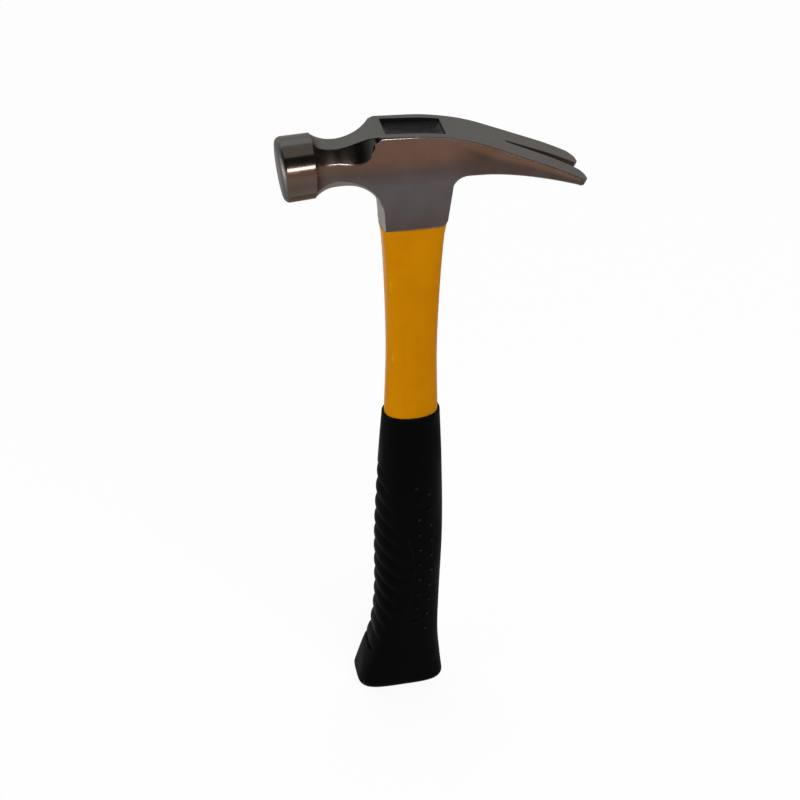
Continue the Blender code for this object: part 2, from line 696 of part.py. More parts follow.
def jacket_sizes(height):
    """Half-length, half-width and squareness of the jacket's outside at a height."""
    length_keys = (
        (JACKET_TOP, SOCKET_FRONT - JACKET_LEDGE),
        (JACKET_TOP - JACKET_LIP, BORE_HALF_LENGTH + LIP_WALL),
        (JACKET_TOP - JACKET_FLARE, BORE_HALF_LENGTH + FLARE_WALL),
        (WAIST_HEIGHT, BORE_HALF_LENGTH + WAIST_WALL),
        (GRIP_LENGTH, BORE_HALF_LENGTH + TAIL_WALL),
    )
    width_keys = (
        (JACKET_TOP, SOCKET_HALF - JACKET_CHEEK_LEDGE),
        (JACKET_TOP - JACKET_FLARE, BORE_HALF_WIDTH + SIDE_WALL),
        (GRIP_LENGTH, BORE_HALF_WIDTH + SIDE_WALL),
    )
    squareness_keys = (
        (JACKET_TOP, SHOULDER_SQUARENESS),
        (WAIST_HEIGHT, WAIST_SQUARENESS),
        (GRIP_LENGTH, GRIP_SQUARENESS),
    )
    return spline(length_keys, height), spline(width_keys, height), spline(squareness_keys, height)


def jacket_row(height, clearance):
    length, width, squareness = jacket_sizes(height)
    return oval_row(height, length + clearance, width + clearance, squareness)


def build_jacket(material):
    bm = bmesh.new()
    rows = [jacket_row(JACKET_TOP, -JACKET_TOP_BREAK)]
    upper = JACKET_TOP - JACKET_TOP_BREAK
    rows += [jacket_row(mix(upper, GRIP_LENGTH, i / JACKET_STEPS), 0) for i in range(JACKET_STEPS + 1)]
    rows.append(jacket_row(JACKET_FOOT, 0))
    outside = skin(bm, rows, (False, False))
    bore = skin(bm, [core_row(JACKET_TOP, FIT_GAP), core_row(JACKET_FOOT, FIT_GAP)], (False, False))
    join_rings(bm, outside[0], bore[0])
    join_rings(bm, outside[-1], bore[-1])
    return finish_object("handle_jacket", bm, material)


def grip_sizes(height):
    """Half-length, half-width, squareness and centre of the grip's outside at a height, without its ribs."""
    length, width, _ = jacket_sizes(GRIP_LENGTH)
    length_keys = (
        (GRIP_LENGTH, RIM_WALL),
        (RIB_TOP, COLLAR_WALL),
        (SWELL_HEIGHT, SWELL_WALL),
        (PALM_HEIGHT, PALM_WALL),
        (HEEL_HEIGHT, HEEL_WALL),
        (SPREAD_HEIGHT, SPREAD_WALL),
        (BUTT_ROUND, BUTT_WALL),
    )
    width_keys = (
        (GRIP_LENGTH, RIM_WALL),
        (RIB_TOP, COLLAR_WALL),
        (SWELL_HEIGHT, SWELL_SIDE_WALL),
        (HEEL_HEIGHT, SWELL_SIDE_WALL),
        (BUTT_ROUND, BUTT_SIDE_WALL),
    )
    lean_keys = (
        (GRIP_LENGTH, 0.0),
        (SWELL_HEIGHT, SWELL_LEAN),
        (PALM_HEIGHT, PALM_LEAN),
        (HEEL_HEIGHT, HEEL_LEAN),
        (SPREAD_HEIGHT, SPREAD_LEAN),
        (BUTT_ROUND, BUTT_LEAN),
    )
    squareness_keys = (
        (SWELL_HEIGHT, GRIP_SQUARENESS),
        (HEEL_HEIGHT, mix(GRIP_SQUARENESS, BUTT_SQUARENESS, 0.5)),
        (BUTT_ROUND, BUTT_SQUARENESS),
    )
    half_length = length + FIT_GAP + spline(length_keys, height)
    half_width = width + FIT_GAP + spline(width_keys, height)
    return half_length, half_width, spline(squareness_keys, height), -spline(lean_keys, height)


def grip_row(height, notch):
    """A row round the grip that falls along the ribs; notch is how deep it lies between two of them."""
    along = (RIB_TOP - height) / (RIB_TOP - RIB_FOOT)
    fade = ease((GRIP_LENGTH - height) / (2 * COLLAR_LENGTH)) * ease((height - BUTT_ROUND) / HEEL_HEIGHT)
    reach = mix(RIB_NARROW, RIB_BROAD, math.sin(math.pi * min(max(along, 0), 1)))
    points = []
    for k in range(HANDLE_COLUMNS):
        angle = 2 * math.pi * k / HANDLE_COLUMNS
        from_edge = abs(math.pi - angle)
        level = height - RIB_DROP * fade * ease(from_edge / (math.pi / 2))
        length, width, squareness, centre = grip_sizes(level)
        depth = notch * RIB_DEPTH * ease((reach - from_edge) / RIB_RUNOUT)
        points.append(oval_point(angle, level, length - depth, width - depth, squareness, centre))
    return points


def butt_row(angle):
    """A row round the rounded lower end; angle runs from 0 at the side to a right angle at the flat butt."""
    length, width, squareness, centre = grip_sizes(BUTT_ROUND)
    inset = BUTT_ROUND * (1 - math.cos(angle))
    height = BUTT_ROUND * (1 - math.sin(angle))
    return oval_row(height, length - inset, width - inset, squareness, centre)


def build_grip(material):
    bm = bmesh.new()
    length, width, squareness, centre = grip_sizes(GRIP_LENGTH)
    rows = [oval_row(GRIP_LENGTH, length - RIM_BREAK, width - RIM_BREAK, squareness, centre)]
    upper = GRIP_LENGTH - RIM_BREAK
    rows += [grip_row(mix(upper, RIB_TOP, i / COLLAR_STEPS), 0) for i in range(COLLAR_STEPS)]
    steps = RIB_COUNT * ROWS_PER_RIB
    for i in range(steps + 1):
        phase = (i % ROWS_PER_RIB) / ROWS_PER_RIB
        notch = (1 - math.sin(math.pi * phase)) ** NOTCH_SHARPNESS
        rows.append(grip_row(mix(RIB_TOP, RIB_FOOT, i / steps), notch))
    rows += [grip_row(mix(RIB_FOOT, BUTT_ROUND, i / BUTT_STEPS), 0) for i in range(1, BUTT_STEPS)]
    rows += [butt_row(math.pi / 2 * i / BUTT_STEPS) for i in range(BUTT_STEPS + 1)]
    outside = skin(bm, rows, (False, True))
    pocket_rows = [jacket_row(GRIP_LENGTH, FIT_GAP), jacket_row(JACKET_FOOT - FIT_GAP, FIT_GAP)]
    pocket = skin(bm, pocket_rows, (False, True))
    join_rings(bm, outside[0], pocket[0])
    return finish_object("rubber_grip", bm, material)


def build_hammer():
    clear_scene()
    build_head(surface("satin_steel", (0.30, 0.29, 0.28), 0.32, 1.0))
    build_resin(surface("dark_resin", (0.015, 0.016, 0.017), 0.35, 0.0))
    build_core(surface("glass_fibre", (0.62, 0.58, 0.46), 0.5, 0.0))
    build_jacket(surface("amber_plastic", (0.75, 0.33, 0.005), 0.25, 0.0))
    build_grip(surface("black_rubber", (0.012, 0.012, 0.012), 0.55, 0.0))


build_hammer()
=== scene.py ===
# %% [markdown]
# A straight claw hammer with a glass-fibre handle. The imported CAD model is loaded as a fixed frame:
# its five solids already have the right sizes and places. This lesson dresses them. Each visible solid
# is replaced by a finer mesh that follows the same curves, and every piece gets a material made of
# nodes. All sizes are in metres: the butt stands on Z = 0 and the claw points to +X.

# %% Load the frame
import math

import bmesh
import bpy
from mathutils import Matrix, Vector


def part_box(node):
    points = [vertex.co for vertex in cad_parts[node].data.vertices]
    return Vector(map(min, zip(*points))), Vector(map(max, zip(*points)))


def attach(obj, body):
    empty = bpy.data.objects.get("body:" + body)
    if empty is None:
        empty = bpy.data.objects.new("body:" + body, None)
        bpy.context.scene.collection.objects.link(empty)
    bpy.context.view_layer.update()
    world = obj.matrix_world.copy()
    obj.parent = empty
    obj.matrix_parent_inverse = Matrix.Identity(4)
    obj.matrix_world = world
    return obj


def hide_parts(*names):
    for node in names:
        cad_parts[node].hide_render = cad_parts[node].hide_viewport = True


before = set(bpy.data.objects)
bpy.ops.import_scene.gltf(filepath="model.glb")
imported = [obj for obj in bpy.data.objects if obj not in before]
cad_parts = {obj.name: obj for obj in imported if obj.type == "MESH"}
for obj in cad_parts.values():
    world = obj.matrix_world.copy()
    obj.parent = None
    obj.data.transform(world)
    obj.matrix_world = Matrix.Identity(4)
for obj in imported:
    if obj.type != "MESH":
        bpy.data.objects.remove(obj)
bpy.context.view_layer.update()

print("CAD nodes:", sorted(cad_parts))

# %% [markdown]
# The frame is also the ruler. The box of each solid gives the sizes that tie the pieces together, so
# they are read from it once, and only the shapes between them are written down later.

# %% Sizes read from the frame
head_low, head_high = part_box("hammer_head")
core_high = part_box("fiberglass_core")[1]
jacket_low, jacket_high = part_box("handle_jacket")
grip_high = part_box("rubber_grip")[1]

FIT_GAP = 0.0003  # clearance between neighbouring pieces
HEAD_BASE = head_low.z  # underside of the head's socket
FACE_REACH = 0.0602  # handle axis to the middle of the striking face
CLAW_REACH = head_high.x  # handle axis to the tips of the claw
BELL_RADIUS = head_high.y
CORE_HALF_LENGTH = core_high.x
CORE_HALF_WIDTH = core_high.y
CORE_TOP = core_high.z
JACKET_TOP = jacket_high.z
JACKET_FOOT = jacket_low.z
GRIP_LENGTH = grip_high.z
print(f"head base {HEAD_BASE:.4f}, face {FACE_REACH:.4f}, claw {CLAW_REACH:.4f}, grip {GRIP_LENGTH:.4f}")

# %% [markdown]
# Three small helpers do most of the shaping: a straight mix, an eased step, and a smooth curve through
# a few keyed heights. A curve through keys is how a pattern maker thinks: a handle is known at its
# shoulder, waist, swell and butt, and the rest flows between them.

# %% Curve helpers
def mix(a, b, share):
    return a + (b - a) * share


def ease(share):
    """Smooth step from 0 to 1, flat at both ends."""
    share = min(max(share, 0.0), 1.0)
    return share * share * (3 - 2 * share)


def spline(keys, height):
    """Smooth curve through (height, value) keys, level past the ends."""
    keys = sorted(keys, reverse=True)
    heights = [key[0] for key in keys]
    values = [key[1] for key in keys]
    if height >= heights[0]:
        return values[0]
    if height <= heights[-1]:
        return values[-1]
    slopes = []
    for i in range(len(keys)):
        before = max(i - 1, 0)
        after = min(i + 1, len(keys) - 1)
        slopes.append((values[after] - values[before]) / (heights[after] - heights[before]))
    i = next(k for k in range(len(keys) - 1) if heights[k + 1] <= height)
    step = heights[i + 1] - heights[i]
    t = (height - heights[i]) / step
    return (
        (2 * t**3 - 3 * t**2 + 1) * values[i]
        + (t**3 - 2 * t**2 + t) * step * slopes[i]
        + (3 * t**2 - 2 * t**3) * values[i + 1]
        + (t**3 - t**2) * step * slopes[i + 1]
    )


print(f"half way along, the eased step is {ease(0.5):.2f}")

# %% [markdown]
# Every piece is drawn as a bmesh, the mesh that Blender's scripts can edit, and then becomes an object.
# Smooth shading hides the small flats of a fine mesh, and edges that turn by more than the crease angle
# stay crisp, as on a part that was ground or moulded.

# %% From mesh to piece
CREASE = math.radians(50)


def finish_piece(name, bm, crease=CREASE):
    """Turn a bmesh into a smooth-shaded object; edges sharper than the crease angle stay crisp."""
    bmesh.ops.recalc_face_normals(bm, faces=bm.faces)
    mesh = bpy.data.meshes.new(name)
    bm.to_mesh(mesh)
    bm.free()
    mesh.shade_smooth()
    mesh.set_sharp_from_angle(angle=crease)
    piece = bpy.data.objects.new(name, mesh)
    bpy.context.scene.collection.objects.link(piece)
    print(f"{name}: {len(mesh.vertices)} vertices, {len(mesh.polygons)} faces")
    return piece


print(f"edges stay crisp from {math.degrees(CREASE):.0f} degrees")

# %% [markdown]
# The head is one forging. Its top runs almost level over the eye, bends, and then falls straight to the
# nose of the claw; the underside of the claw leaves the socket in a cove and thins out to the tips.
# These curves, seen from the side, are written first because every cross-section hangs from them.

# %% Head: profile from the side
HEAD_HEIGHT = 0.0475  # underside of the socket to the crown over the eye's centre
HEAD_TOP = HEAD_BASE + HEAD_HEIGHT
EYE_TOP_LENGTH = 0.0270
EYE_TOP_WIDTH = 0.0153
EYE_TOP_SHIFT = 0.0005  # how far the eye's upper end stands ahead of the handle axis
EYE_FRONT = EYE_TOP_SHIFT + EYE_TOP_LENGTH / 2
EYE_BOTTOM_LENGTH = 0.0210
EYE_BOTTOM_WIDTH = 0.0124
CHEEK_HALF = 0.01136  # half the width across the cheeks
CROWN_SLOPE = math.radians(3.7)
CROWN_FRONT = 0.0186  # handle axis to the front edge of the crown
CROWN_FRONT_ROUND = 0.0030
CROWN_FRONT_DROP = 0.0007
CLAW_SLOPE = math.radians(23.6)
CROWN_ARC = 0.1000  # radius of the bend from the crown to the straight claw
CLAW_ROOT = 0.0259  # underside of the socket to the underside of the claw's root
CLAW_BEND = 0.0310
CLAW_FALL = 1.6
CLAW_TIP_WIDTH = 0.0283
CLAW_TIP_THICKNESS = 0.0028
NOSE_LENGTH = 0.0200
NOSE_FALL = 0.0015


def crown_height(x):
    """Height of the top: rounded at the front, a gentle slope, a bend, then straight to the nose."""
    if x <= 0:
        past_round = max(CROWN_FRONT_ROUND - CROWN_FRONT - x, 0) / CROWN_FRONT_ROUND
        return HEAD_TOP - math.tan(CROWN_SLOPE) * x - CROWN_FRONT_DROP * past_round**2
    bend_end = CROWN_ARC * (math.sin(CLAW_SLOPE) - math.sin(CROWN_SLOPE))
    reached = math.asin(math.sin(CROWN_SLOPE) + min(x, bend_end) / CROWN_ARC)
    drop = CROWN_ARC * (math.cos(CROWN_SLOPE) - math.cos(reached))
    drop += math.tan(CLAW_SLOPE) * max(x - bend_end, 0)
    past_nose = max(x - CLAW_REACH + NOSE_LENGTH, 0) / NOSE_LENGTH
    return HEAD_TOP - drop - NOSE_FALL * past_nose**2


def along_claw(x):
    """0 up to the rear of the eye, 1 at the tips."""
    start = EYE_TOP_LENGTH / 2
    return max(x - start, 0) / (CLAW_REACH - start)


def claw_half_width(x):
    """The head widens steadily from the eye to the tips."""
    return mix(CHEEK_HALF, CLAW_TIP_WIDTH / 2, along_claw(x))


def claw_underside(x):
    """Level at the root, then falling to leave the tip its thickness."""
    tip = crown_height(CLAW_REACH) - CLAW_TIP_THICKNESS
    share = max(x - CLAW_BEND, 0) / (CLAW_REACH - CLAW_BEND)
    return mix(HEAD_BASE + CLAW_ROOT, tip, share**CLAW_FALL)


root_thickness = crown_height(CLAW_BEND) - claw_underside(CLAW_BEND)
print(f"claw is {root_thickness:.4f} thick where its underside starts to fall")

# %% [markdown]
# Forging dies meet at a parting line, and below it the sides lean in a little, so that the hot steel
# lets go of the die. The line runs level along the cheeks and falls to the tips of the claw. The ground
# edges of the crown are softer at the front of the cheeks than along the claw.

# %% Head: parting line and edges
PARTING = 0.0330  # underside of the socket to the parting line
SIDE_DRAFT = math.radians(3.7)
PARTING_SHARES = (0.1, 0.9)  # the line keeps between these shares of a side's height
EDGE_BREAK = 0.0005  # rounding of the long upper edges
FRONT_EDGE_BREAK = 0.0013
EDGE_FADE = 0.0240
SOCKET_HALF = CHEEK_HALF - math.tan(SIDE_DRAFT) * PARTING


def edge_break(x):
    return mix(FRONT_EDGE_BREAK, EDGE_BREAK, ease((x + CROWN_FRONT) / EDGE_FADE))


def parting_height(x):
    return mix(HEAD_BASE + PARTING, crown_height(CLAW_REACH), along_claw(x))


def lower_edge(side, under, inward, depth):
    """Lower edge of a side, this depth into the steel, leaning in below the parting line."""
    x = under[0] + inward[0] * depth
    z = under[1] + inward[1] * depth
    lean = math.tan(SIDE_DRAFT) * max(parting_height(x) - z, 0)
    return Vector((x, side - lean, z))


print(f"socket is {2 * SOCKET_HALF:.4f} wide, the cheeks {2 * CHEEK_HALF:.4f}")

# %% [markdown]
# The body of the head is lofted: half a cross-section is drawn from the middle of the top, round the +Y
# side, to the middle of the underside, then mirrored and skinned to the next one. Boxes with bevels
# could give the block, but not the neck that turns from eight sides to a round bell. All half sections
# have the same edge lines, and SPANS says how many steps lie between two of them.

# %% Head: half a cross-section
SPANS = (2, 6, 6, 8, 8, 6, 6, 2)
MIDDLE = SPANS[0]  # steps between the middle line and the edge of the eye or slot


def straight(start, end, count):
    return [start.lerp(end, i / count) for i in range(count)]


def corner(start, end, knee, count, roundness):
    """Steps between two edge lines, closer at both; roundness 0 is flat, 1 a quarter round."""
    centre = start + end - knee
    points = []
    for i in range(count):
        step = ease(i / count)
        angle = math.pi / 2 * step
        arc = centre + (start - centre) * math.cos(angle) + (end - centre) * math.sin(angle)
        points.append(start.lerp(end, step).lerp(arc, roundness))
    return points


def half_section(top, top_flat, shoulder, side, side_lower, under, under_flat, inner, rounds):
    """Half a section of the head.

    top, shoulder and under are (x, z) of the top face, of the side's upper edge and of the underside.
    top_flat, side and under_flat are half-widths, and side_lower is the side's lower edge. inner holds
    the half-widths of the eye's or slot's edge lines.
    """
    top_middle, top_inner, top_edge = [Vector((top[0], y, top[1])) for y in (0, inner[0], top_flat)]
    under_edge, under_inner, under_middle = [
        Vector((under[0], y, under[1])) for y in (under_flat, inner[1], 0)
    ]
    side_upper = Vector((shoulder[0], side, shoulder[1]))
    share = (side_upper.z - parting_height(side_upper.x)) / (side_upper.z - side_lower.z)
    parting = side_upper.lerp(side_lower, min(max(share, PARTING_SHARES[0]), PARTING_SHARES[1]))
    parting.y = side
    upper_knee = Vector(((top[0] + shoulder[0]) / 2, side, top[1]))
    lower_knee = Vector((under[0], side_lower.y, under[1]))
    points = straight(top_middle, top_inner, SPANS[0])
    points += straight(top_inner, top_edge, SPANS[1])
    points += corner(top_edge, side_upper, upper_knee, SPANS[2], rounds[0])
    points += straight(side_upper, parting, SPANS[3])
    points += straight(parting, side_lower, SPANS[4])
    points += corner(side_lower, under_edge, lower_knee, SPANS[5], rounds[1])
    points += straight(under_edge, under_inner, SPANS[6])
    points += straight(under_inner, under_middle, SPANS[7])
    points.append(under_middle)
    return points


print("points in half a section:", sum(SPANS) + 1)

# %% [markdown]
# The bell is the round hammer end. It is turned and polished, with a chamfer round a slightly crowned
# striking face, and its axis dips a little. Its circles are cut at the same edge lines as the other
# sections, so the loft runs on into the neck. Extra circles close to each edge keep the smooth shading
# from spreading over the flat stretches.

# %% Head: the bell
BELL_REAR_RADIUS = 0.0144
BELL_LENGTH = 0.0148
BELL_HEIGHT = 0.0321
BELL_TILT = math.radians(3.3)  # fall of the bell's axis
FACE_LEAN = math.radians(4.8)  # how far the striking face looks down
REAR_LEAN = math.radians(1.0)  # the same for the bell's rear edge
FACE_CHAMFER = 0.0024
FACE_CROWN = 0.0004
FACE_FLAT_RADIUS = 0.0075
CHAMFER_ROUND = 0.7  # 0 is a flat chamfer round the face, 1 a quarter round
CHAMFER_STEPS = 8
CROWN_SHARES = (0.25, 0.5, 0.75)  # places of the circles on the crowned face
BODY_SHARES = (0.03, 0.25, 0.5, 0.75, 0.97, 1.0)  # places of the circles along the bell's body
BELL_ANGLES = (0, 10, 31, 63, 90, 117, 149, 170, 180)  # degrees from the top of the edge lines
BELL_CENTRE = Vector((BELL_LENGTH / 2 - FACE_REACH, 0, HEAD_BASE + BELL_HEIGHT))


def bell_section(back, radius):
    """Half a circle on the falling axis, back behind the striking face."""
    angles = []
    for first, last, count in zip(BELL_ANGLES, BELL_ANGLES[1:], SPANS):
        angles += [mix(first, last, i / count) for i in range(count)]
    angles.append(BELL_ANGLES[-1])
    along = back - BELL_LENGTH / 2
    lean = mix(FACE_LEAN, REAR_LEAN, back / BELL_LENGTH)
    points = []
    for angle in angles:
        y = radius * math.sin(math.radians(angle))
        z = radius * math.cos(math.radians(angle))
        x_tilted = along * math.cos(BELL_TILT) - z * math.sin(lean)
        z_tilted = along * math.sin(BELL_TILT) + z * math.cos(lean)
        points.append(BELL_CENTRE + Vector((x_tilted, y, z_tilted)))
    return points


def bell_profile():
    """(back, radius) from the middle of the face over its rounded chamfer to the bell's rear edge."""
    rim = BELL_RADIUS - FACE_CHAMFER
    profile = [(0.0, FACE_FLAT_RADIUS)]
    for share in CROWN_SHARES:
        profile.append((FACE_CROWN * share**2, mix(FACE_FLAT_RADIUS, rim, share)))
    for i in range(CHAMFER_STEPS + 1):
        share = i / CHAMFER_STEPS
        back = mix(share, 1 - math.cos(math.pi / 2 * share), CHAMFER_ROUND)
        out = mix(share, math.sin(math.pi / 2 * share), CHAMFER_ROUND)
        profile.append((FACE_CROWN + FACE_CHAMFER * back, rim + FACE_CHAMFER * out))
    body = FACE_CROWN + FACE_CHAMFER
    for share in BODY_SHARES:
        profile.append((mix(body, BELL_LENGTH, share), mix(BELL_RADIUS, BELL_REAR_RADIUS, share)))
    return profile


print("circles on the bell:", len(bell_profile()))

# %% [markdown]
# The neck is eight-sided: forging dies leave flats and chamfers rather than a turned waist. Its top
# sweeps up to the crown, its chamfers run out at the cheek, and its underside is an arch that ends on
# the front wall of the socket.

# %% Head: the neck
NECK_REACH = 0.0345
NECK_WIDTH = 0.0180
NECK_TOP = 0.0421
NECK_BOTTOM = 0.0235
NECK_FLAT = 0.0096
NECK_SHOULDER = 0.0056  # height of the upper chamfers at the throat
NECK_RUNOUT = 0.0104  # what they grow towards before they run out at the cheek
NECK_CHAMFER = 0.0045
NECK_ROUND = 0.1  # how far the throat's chamfers bulge towards a quarter round
NECK_RISE = 1.63  # power of the climb to the crown: 1 is straight, 2 a parabola
NECK_SPREAD = 4  # the same for the width of the top: the higher, the later it spreads
NECK_CLOSE = 6  # the same for the upper chamfers, which close at the cheek
NECK_FLARE = 2.4
FLARE_CROWDING = 1.4  # above 1, the flare's sections stand closer near the bell
CROWN_FRONT_FLAT = 0.0190
CROWN_CORNER = 0.0020
ARCH_FOOT = 0.0098
ARCH_TURN = math.radians(72)
SOCKET_FRONT = 0.0155  # handle axis to the socket's front wall at the underside
SOCKET_REAR = 0.0158
SOCKET_DRAFT = math.radians(3.5)
SOCKET_NOSE = 0.0014  # how far the socket's ends stand out between the cheeks
SOCKET_NOSE_FLAT = 0.0030
SOCKET_NOSE_ROUND = 0.25
FLARE_STEPS = 12
NECK_STEPS = 22


def wall_x(foot, height):
    """Distance of a socket wall from the handle axis at a height over the underside."""
    return foot + math.tan(SOCKET_DRAFT) * height


def arch_point(angle):
    """A point on the arch under the neck and the direction into the steel; 0 is the throat."""
    run = NECK_REACH - wall_x(SOCKET_FRONT, ARCH_FOOT)
    rise = NECK_BOTTOM - ARCH_FOOT
    point = (-NECK_REACH + run * math.sin(angle), HEAD_BASE + ARCH_FOOT + rise * math.cos(angle))
    normal = Vector((rise * math.sin(angle), run * math.cos(angle))).normalized()
    return point, normal


def neck_section(share):
    """Half a section between the throat (share 0) and the front edge of the crown (share 1)."""
    x = mix(-NECK_REACH, -CROWN_FRONT, share)
    top = mix(HEAD_BASE + NECK_TOP, crown_height(-CROWN_FRONT), share**NECK_RISE)
    top_flat = mix(NECK_FLAT, CROWN_FRONT_FLAT, share**NECK_SPREAD) / 2
    under, inward = arch_point(ARCH_TURN * share)
    side = mix(NECK_WIDTH / 2, CHEEK_HALF, ease(share))
    chamfer = mix(mix(NECK_SHOULDER, NECK_RUNOUT, share), CROWN_CORNER, share**NECK_CLOSE)
    return half_section(
        top=(x, top),
        top_flat=top_flat,
        shoulder=(x, top - chamfer),
        side=side,
        side_lower=lower_edge(side, under, inward, mix(NECK_CHAMFER, SOCKET_NOSE, share)),
        under=under,
        under_flat=mix(NECK_FLAT, SOCKET_NOSE_FLAT, share) / 2,
        inner=(
            mix(NECK_FLAT / 4, EYE_TOP_WIDTH / 2, share**NECK_SPREAD),
            mix(NECK_FLAT, SOCKET_NOSE_FLAT, share) / 4,
        ),
        rounds=(NECK_ROUND * (1 - share), mix(NECK_ROUND, SOCKET_NOSE_ROUND, share)),
    )


def bell_and_flare_sections():
    """From the striking face over the bell and down the flare, up to the throat."""
    sections = [bell_section(back, radius) for back, radius in bell_profile()]
    rim = sections[-1]
    throat = neck_section(0)
    for i in range(1, FLARE_STEPS):
        share = (i / FLARE_STEPS) ** FLARE_CROWDING
        narrowed = 1 - (1 - share) ** NECK_FLARE
        ring = [outer.lerp(slim, narrowed) for outer, slim in zip(rim, throat)]
        for point, outer, slim in zip(ring, rim, throat):
            point.x = mix(outer.x, slim.x, share)
        sections.append(ring)
    return sections


print("sections from face to throat:", len(bell_and_flare_sections()))

# %% [markdown]
# The block round the eye has flat ground cheeks, and below them the socket: a skirt that holds the
# handle, with drafted, bulging ends and rounded toes. The sections fan out here, so that each one
# starts on the crown and ends somewhere on the wall, the toe or the cove.

# %% Head: the block and its socket
UNDER_BREAK = 0.0010  # rounding of the long lower edges
SOCKET_FRONT_TOE = 0.0018  # radius of the lower edge of the socket's front end
SOCKET_REAR_TOE = 0.0046
CLAW_COVE = 0.0072
FOOT_TURNS = (78, 84, 90)  # degrees round the arch of the sections at its foot
QUARTER_STEPS = 9
EYE_STEPS = 8


def block_section(top_x, under, inward, share):
    """Half a section through the block; share is 0 on the socket's bulging ends, 1 on its underside."""
    top = crown_height(top_x)
    side = claw_half_width(top_x)
    behind_front = ease((top_x + CROWN_FRONT) / CROWN_FRONT_ROUND)
    side_lower = lower_edge(side, under, inward, mix(SOCKET_NOSE, UNDER_BREAK, share))
    under_flat = mix(SOCKET_NOSE_FLAT / 2, side_lower.y - UNDER_BREAK, share)
    return half_section(
        top=(top_x, top),
        top_flat=mix(CROWN_FRONT_FLAT / 2, side - edge_break(top_x), behind_front),
        shoulder=(top_x, top - mix(CROWN_CORNER, edge_break(top_x), behind_front)),
        side=side,
        side_lower=side_lower,
        under=under,
        under_flat=under_flat,
        inner=(EYE_TOP_WIDTH / 2, mix(under_flat / 2, EYE_BOTTOM_WIDTH / 2, share)),
        rounds=(behind_front, mix(SOCKET_NOSE_ROUND, 1, share)),
    )


def quarter_turns():
    return [math.pi / 2 * i / QUARTER_STEPS for i in range(QUARTER_STEPS + 1)]


def toe_points(side, foot, toe):
    """Points, inward directions and shares round a socket wall's lower edge, from the wall down."""
    points = []
    for angle in quarter_turns():
        x = side * (foot - toe + toe * math.cos(angle))
        point = (x, HEAD_BASE + toe * (1 - math.sin(angle)))
        points.append((point, (-side * math.cos(angle), math.sin(angle)), math.sin(angle) ** 2))
    return points


def cove_points():
    """The same up the rear wall and round the cove under the claw's root, and where the cove ends."""
    cove_height = CLAW_ROOT - CLAW_COVE
    cove_x = wall_x(SOCKET_REAR, cove_height) + CLAW_COVE
    points = []
    for angle in quarter_turns():
        inward = (-math.cos(angle), math.sin(angle))
        point = (cove_x + CLAW_COVE * inward[0], HEAD_BASE + cove_height + CLAW_COVE * inward[1])
        points.append((point, inward, math.sin(angle) ** 2))
    return points, cove_x


def block_sections():
    """Sections from the crown's front edge back to the root of the claw."""
    eye_rear = EYE_TOP_LENGTH - EYE_FRONT
    eye_bottom = EYE_BOTTOM_LENGTH / 2
    sections = []
    front = [(*arch_point(math.radians(turn)), 0.0) for turn in FOOT_TURNS]
    front += toe_points(-1, SOCKET_FRONT, SOCKET_FRONT_TOE)
    for i, (under, inward, share) in enumerate(front):
        top_x = mix(-CROWN_FRONT, -EYE_FRONT, (i + 1) / (len(front) + 1))
        sections.append(block_section(top_x, under, inward, share))
    eye_first = len(sections)
    for i in range(EYE_STEPS + 1):
        top_x = mix(-EYE_FRONT, eye_rear, i / EYE_STEPS)
        under_x = mix(-eye_bottom, eye_bottom, i / EYE_STEPS)
        sections.append(block_section(top_x, (under_x, HEAD_BASE), (0, 1), 1.0))
    eye_last = len(sections) - 1
    cove, cove_x = cove_points()
    rear = [*reversed(toe_points(1, SOCKET_REAR, SOCKET_REAR_TOE)), *cove]
    for i, (under, inward, share) in enumerate(rear):
        top_x = mix(eye_rear, cove_x, (i + 1) / len(rear))
        sections.append(block_section(top_x, under, inward, share))
    return sections, eye_first, eye_last, cove_x


print("sections in the block:", len(block_sections()[0]))

# %% [markdown]
# The claw is a flat wedge, split by a nail slot that widens towards the two rounded tips. Each tip is
# rounded in plan by drawing the points of the last sections back.

# %% Head: the claw
SLOT_REACH = 0.0420
SLOT_END = 0.0015
SLOT_MOUTH = 0.0064
TIP_ROUND = 0.0080
TIP_OUTER_SETBACK = 0.0040
TIP_INNER_SETBACK = 0.0022
TIP_OUTER_SHARE = 0.4
TIP_INNER_SHARE = 0.35
TIP_UNDERCUT = 0.0012  # how far the lower edge of a tip stands behind its upper edge
ROOT_STEPS = 8
SLOT_STEPS = 14
TIP_STEPS = 10


def slot_half_width(x):
    share = (x - SLOT_REACH) / (CLAW_REACH - SLOT_REACH)
    return mix(SLOT_END, SLOT_MOUTH, share) / 2


def tip_setback(y, x, level):
    """How far a point lies behind the straight end line; level is 0 on the underside and 1 on top."""
    inner = slot_half_width(x)
    share = (abs(y) - inner) / (claw_half_width(x) - inner)
    outer_part = TIP_OUTER_SETBACK * max((share - 1) / TIP_OUTER_SHARE + 1, 0) ** 2
    inner_part = TIP_INNER_SETBACK * min(max(1 - share / TIP_INNER_SHARE, 0), 1) ** 2
    setback = outer_part + inner_part + TIP_UNDERCUT * (1 - level)
    return setback * (max(x - CLAW_REACH + TIP_ROUND, 0) / TIP_ROUND) ** 2


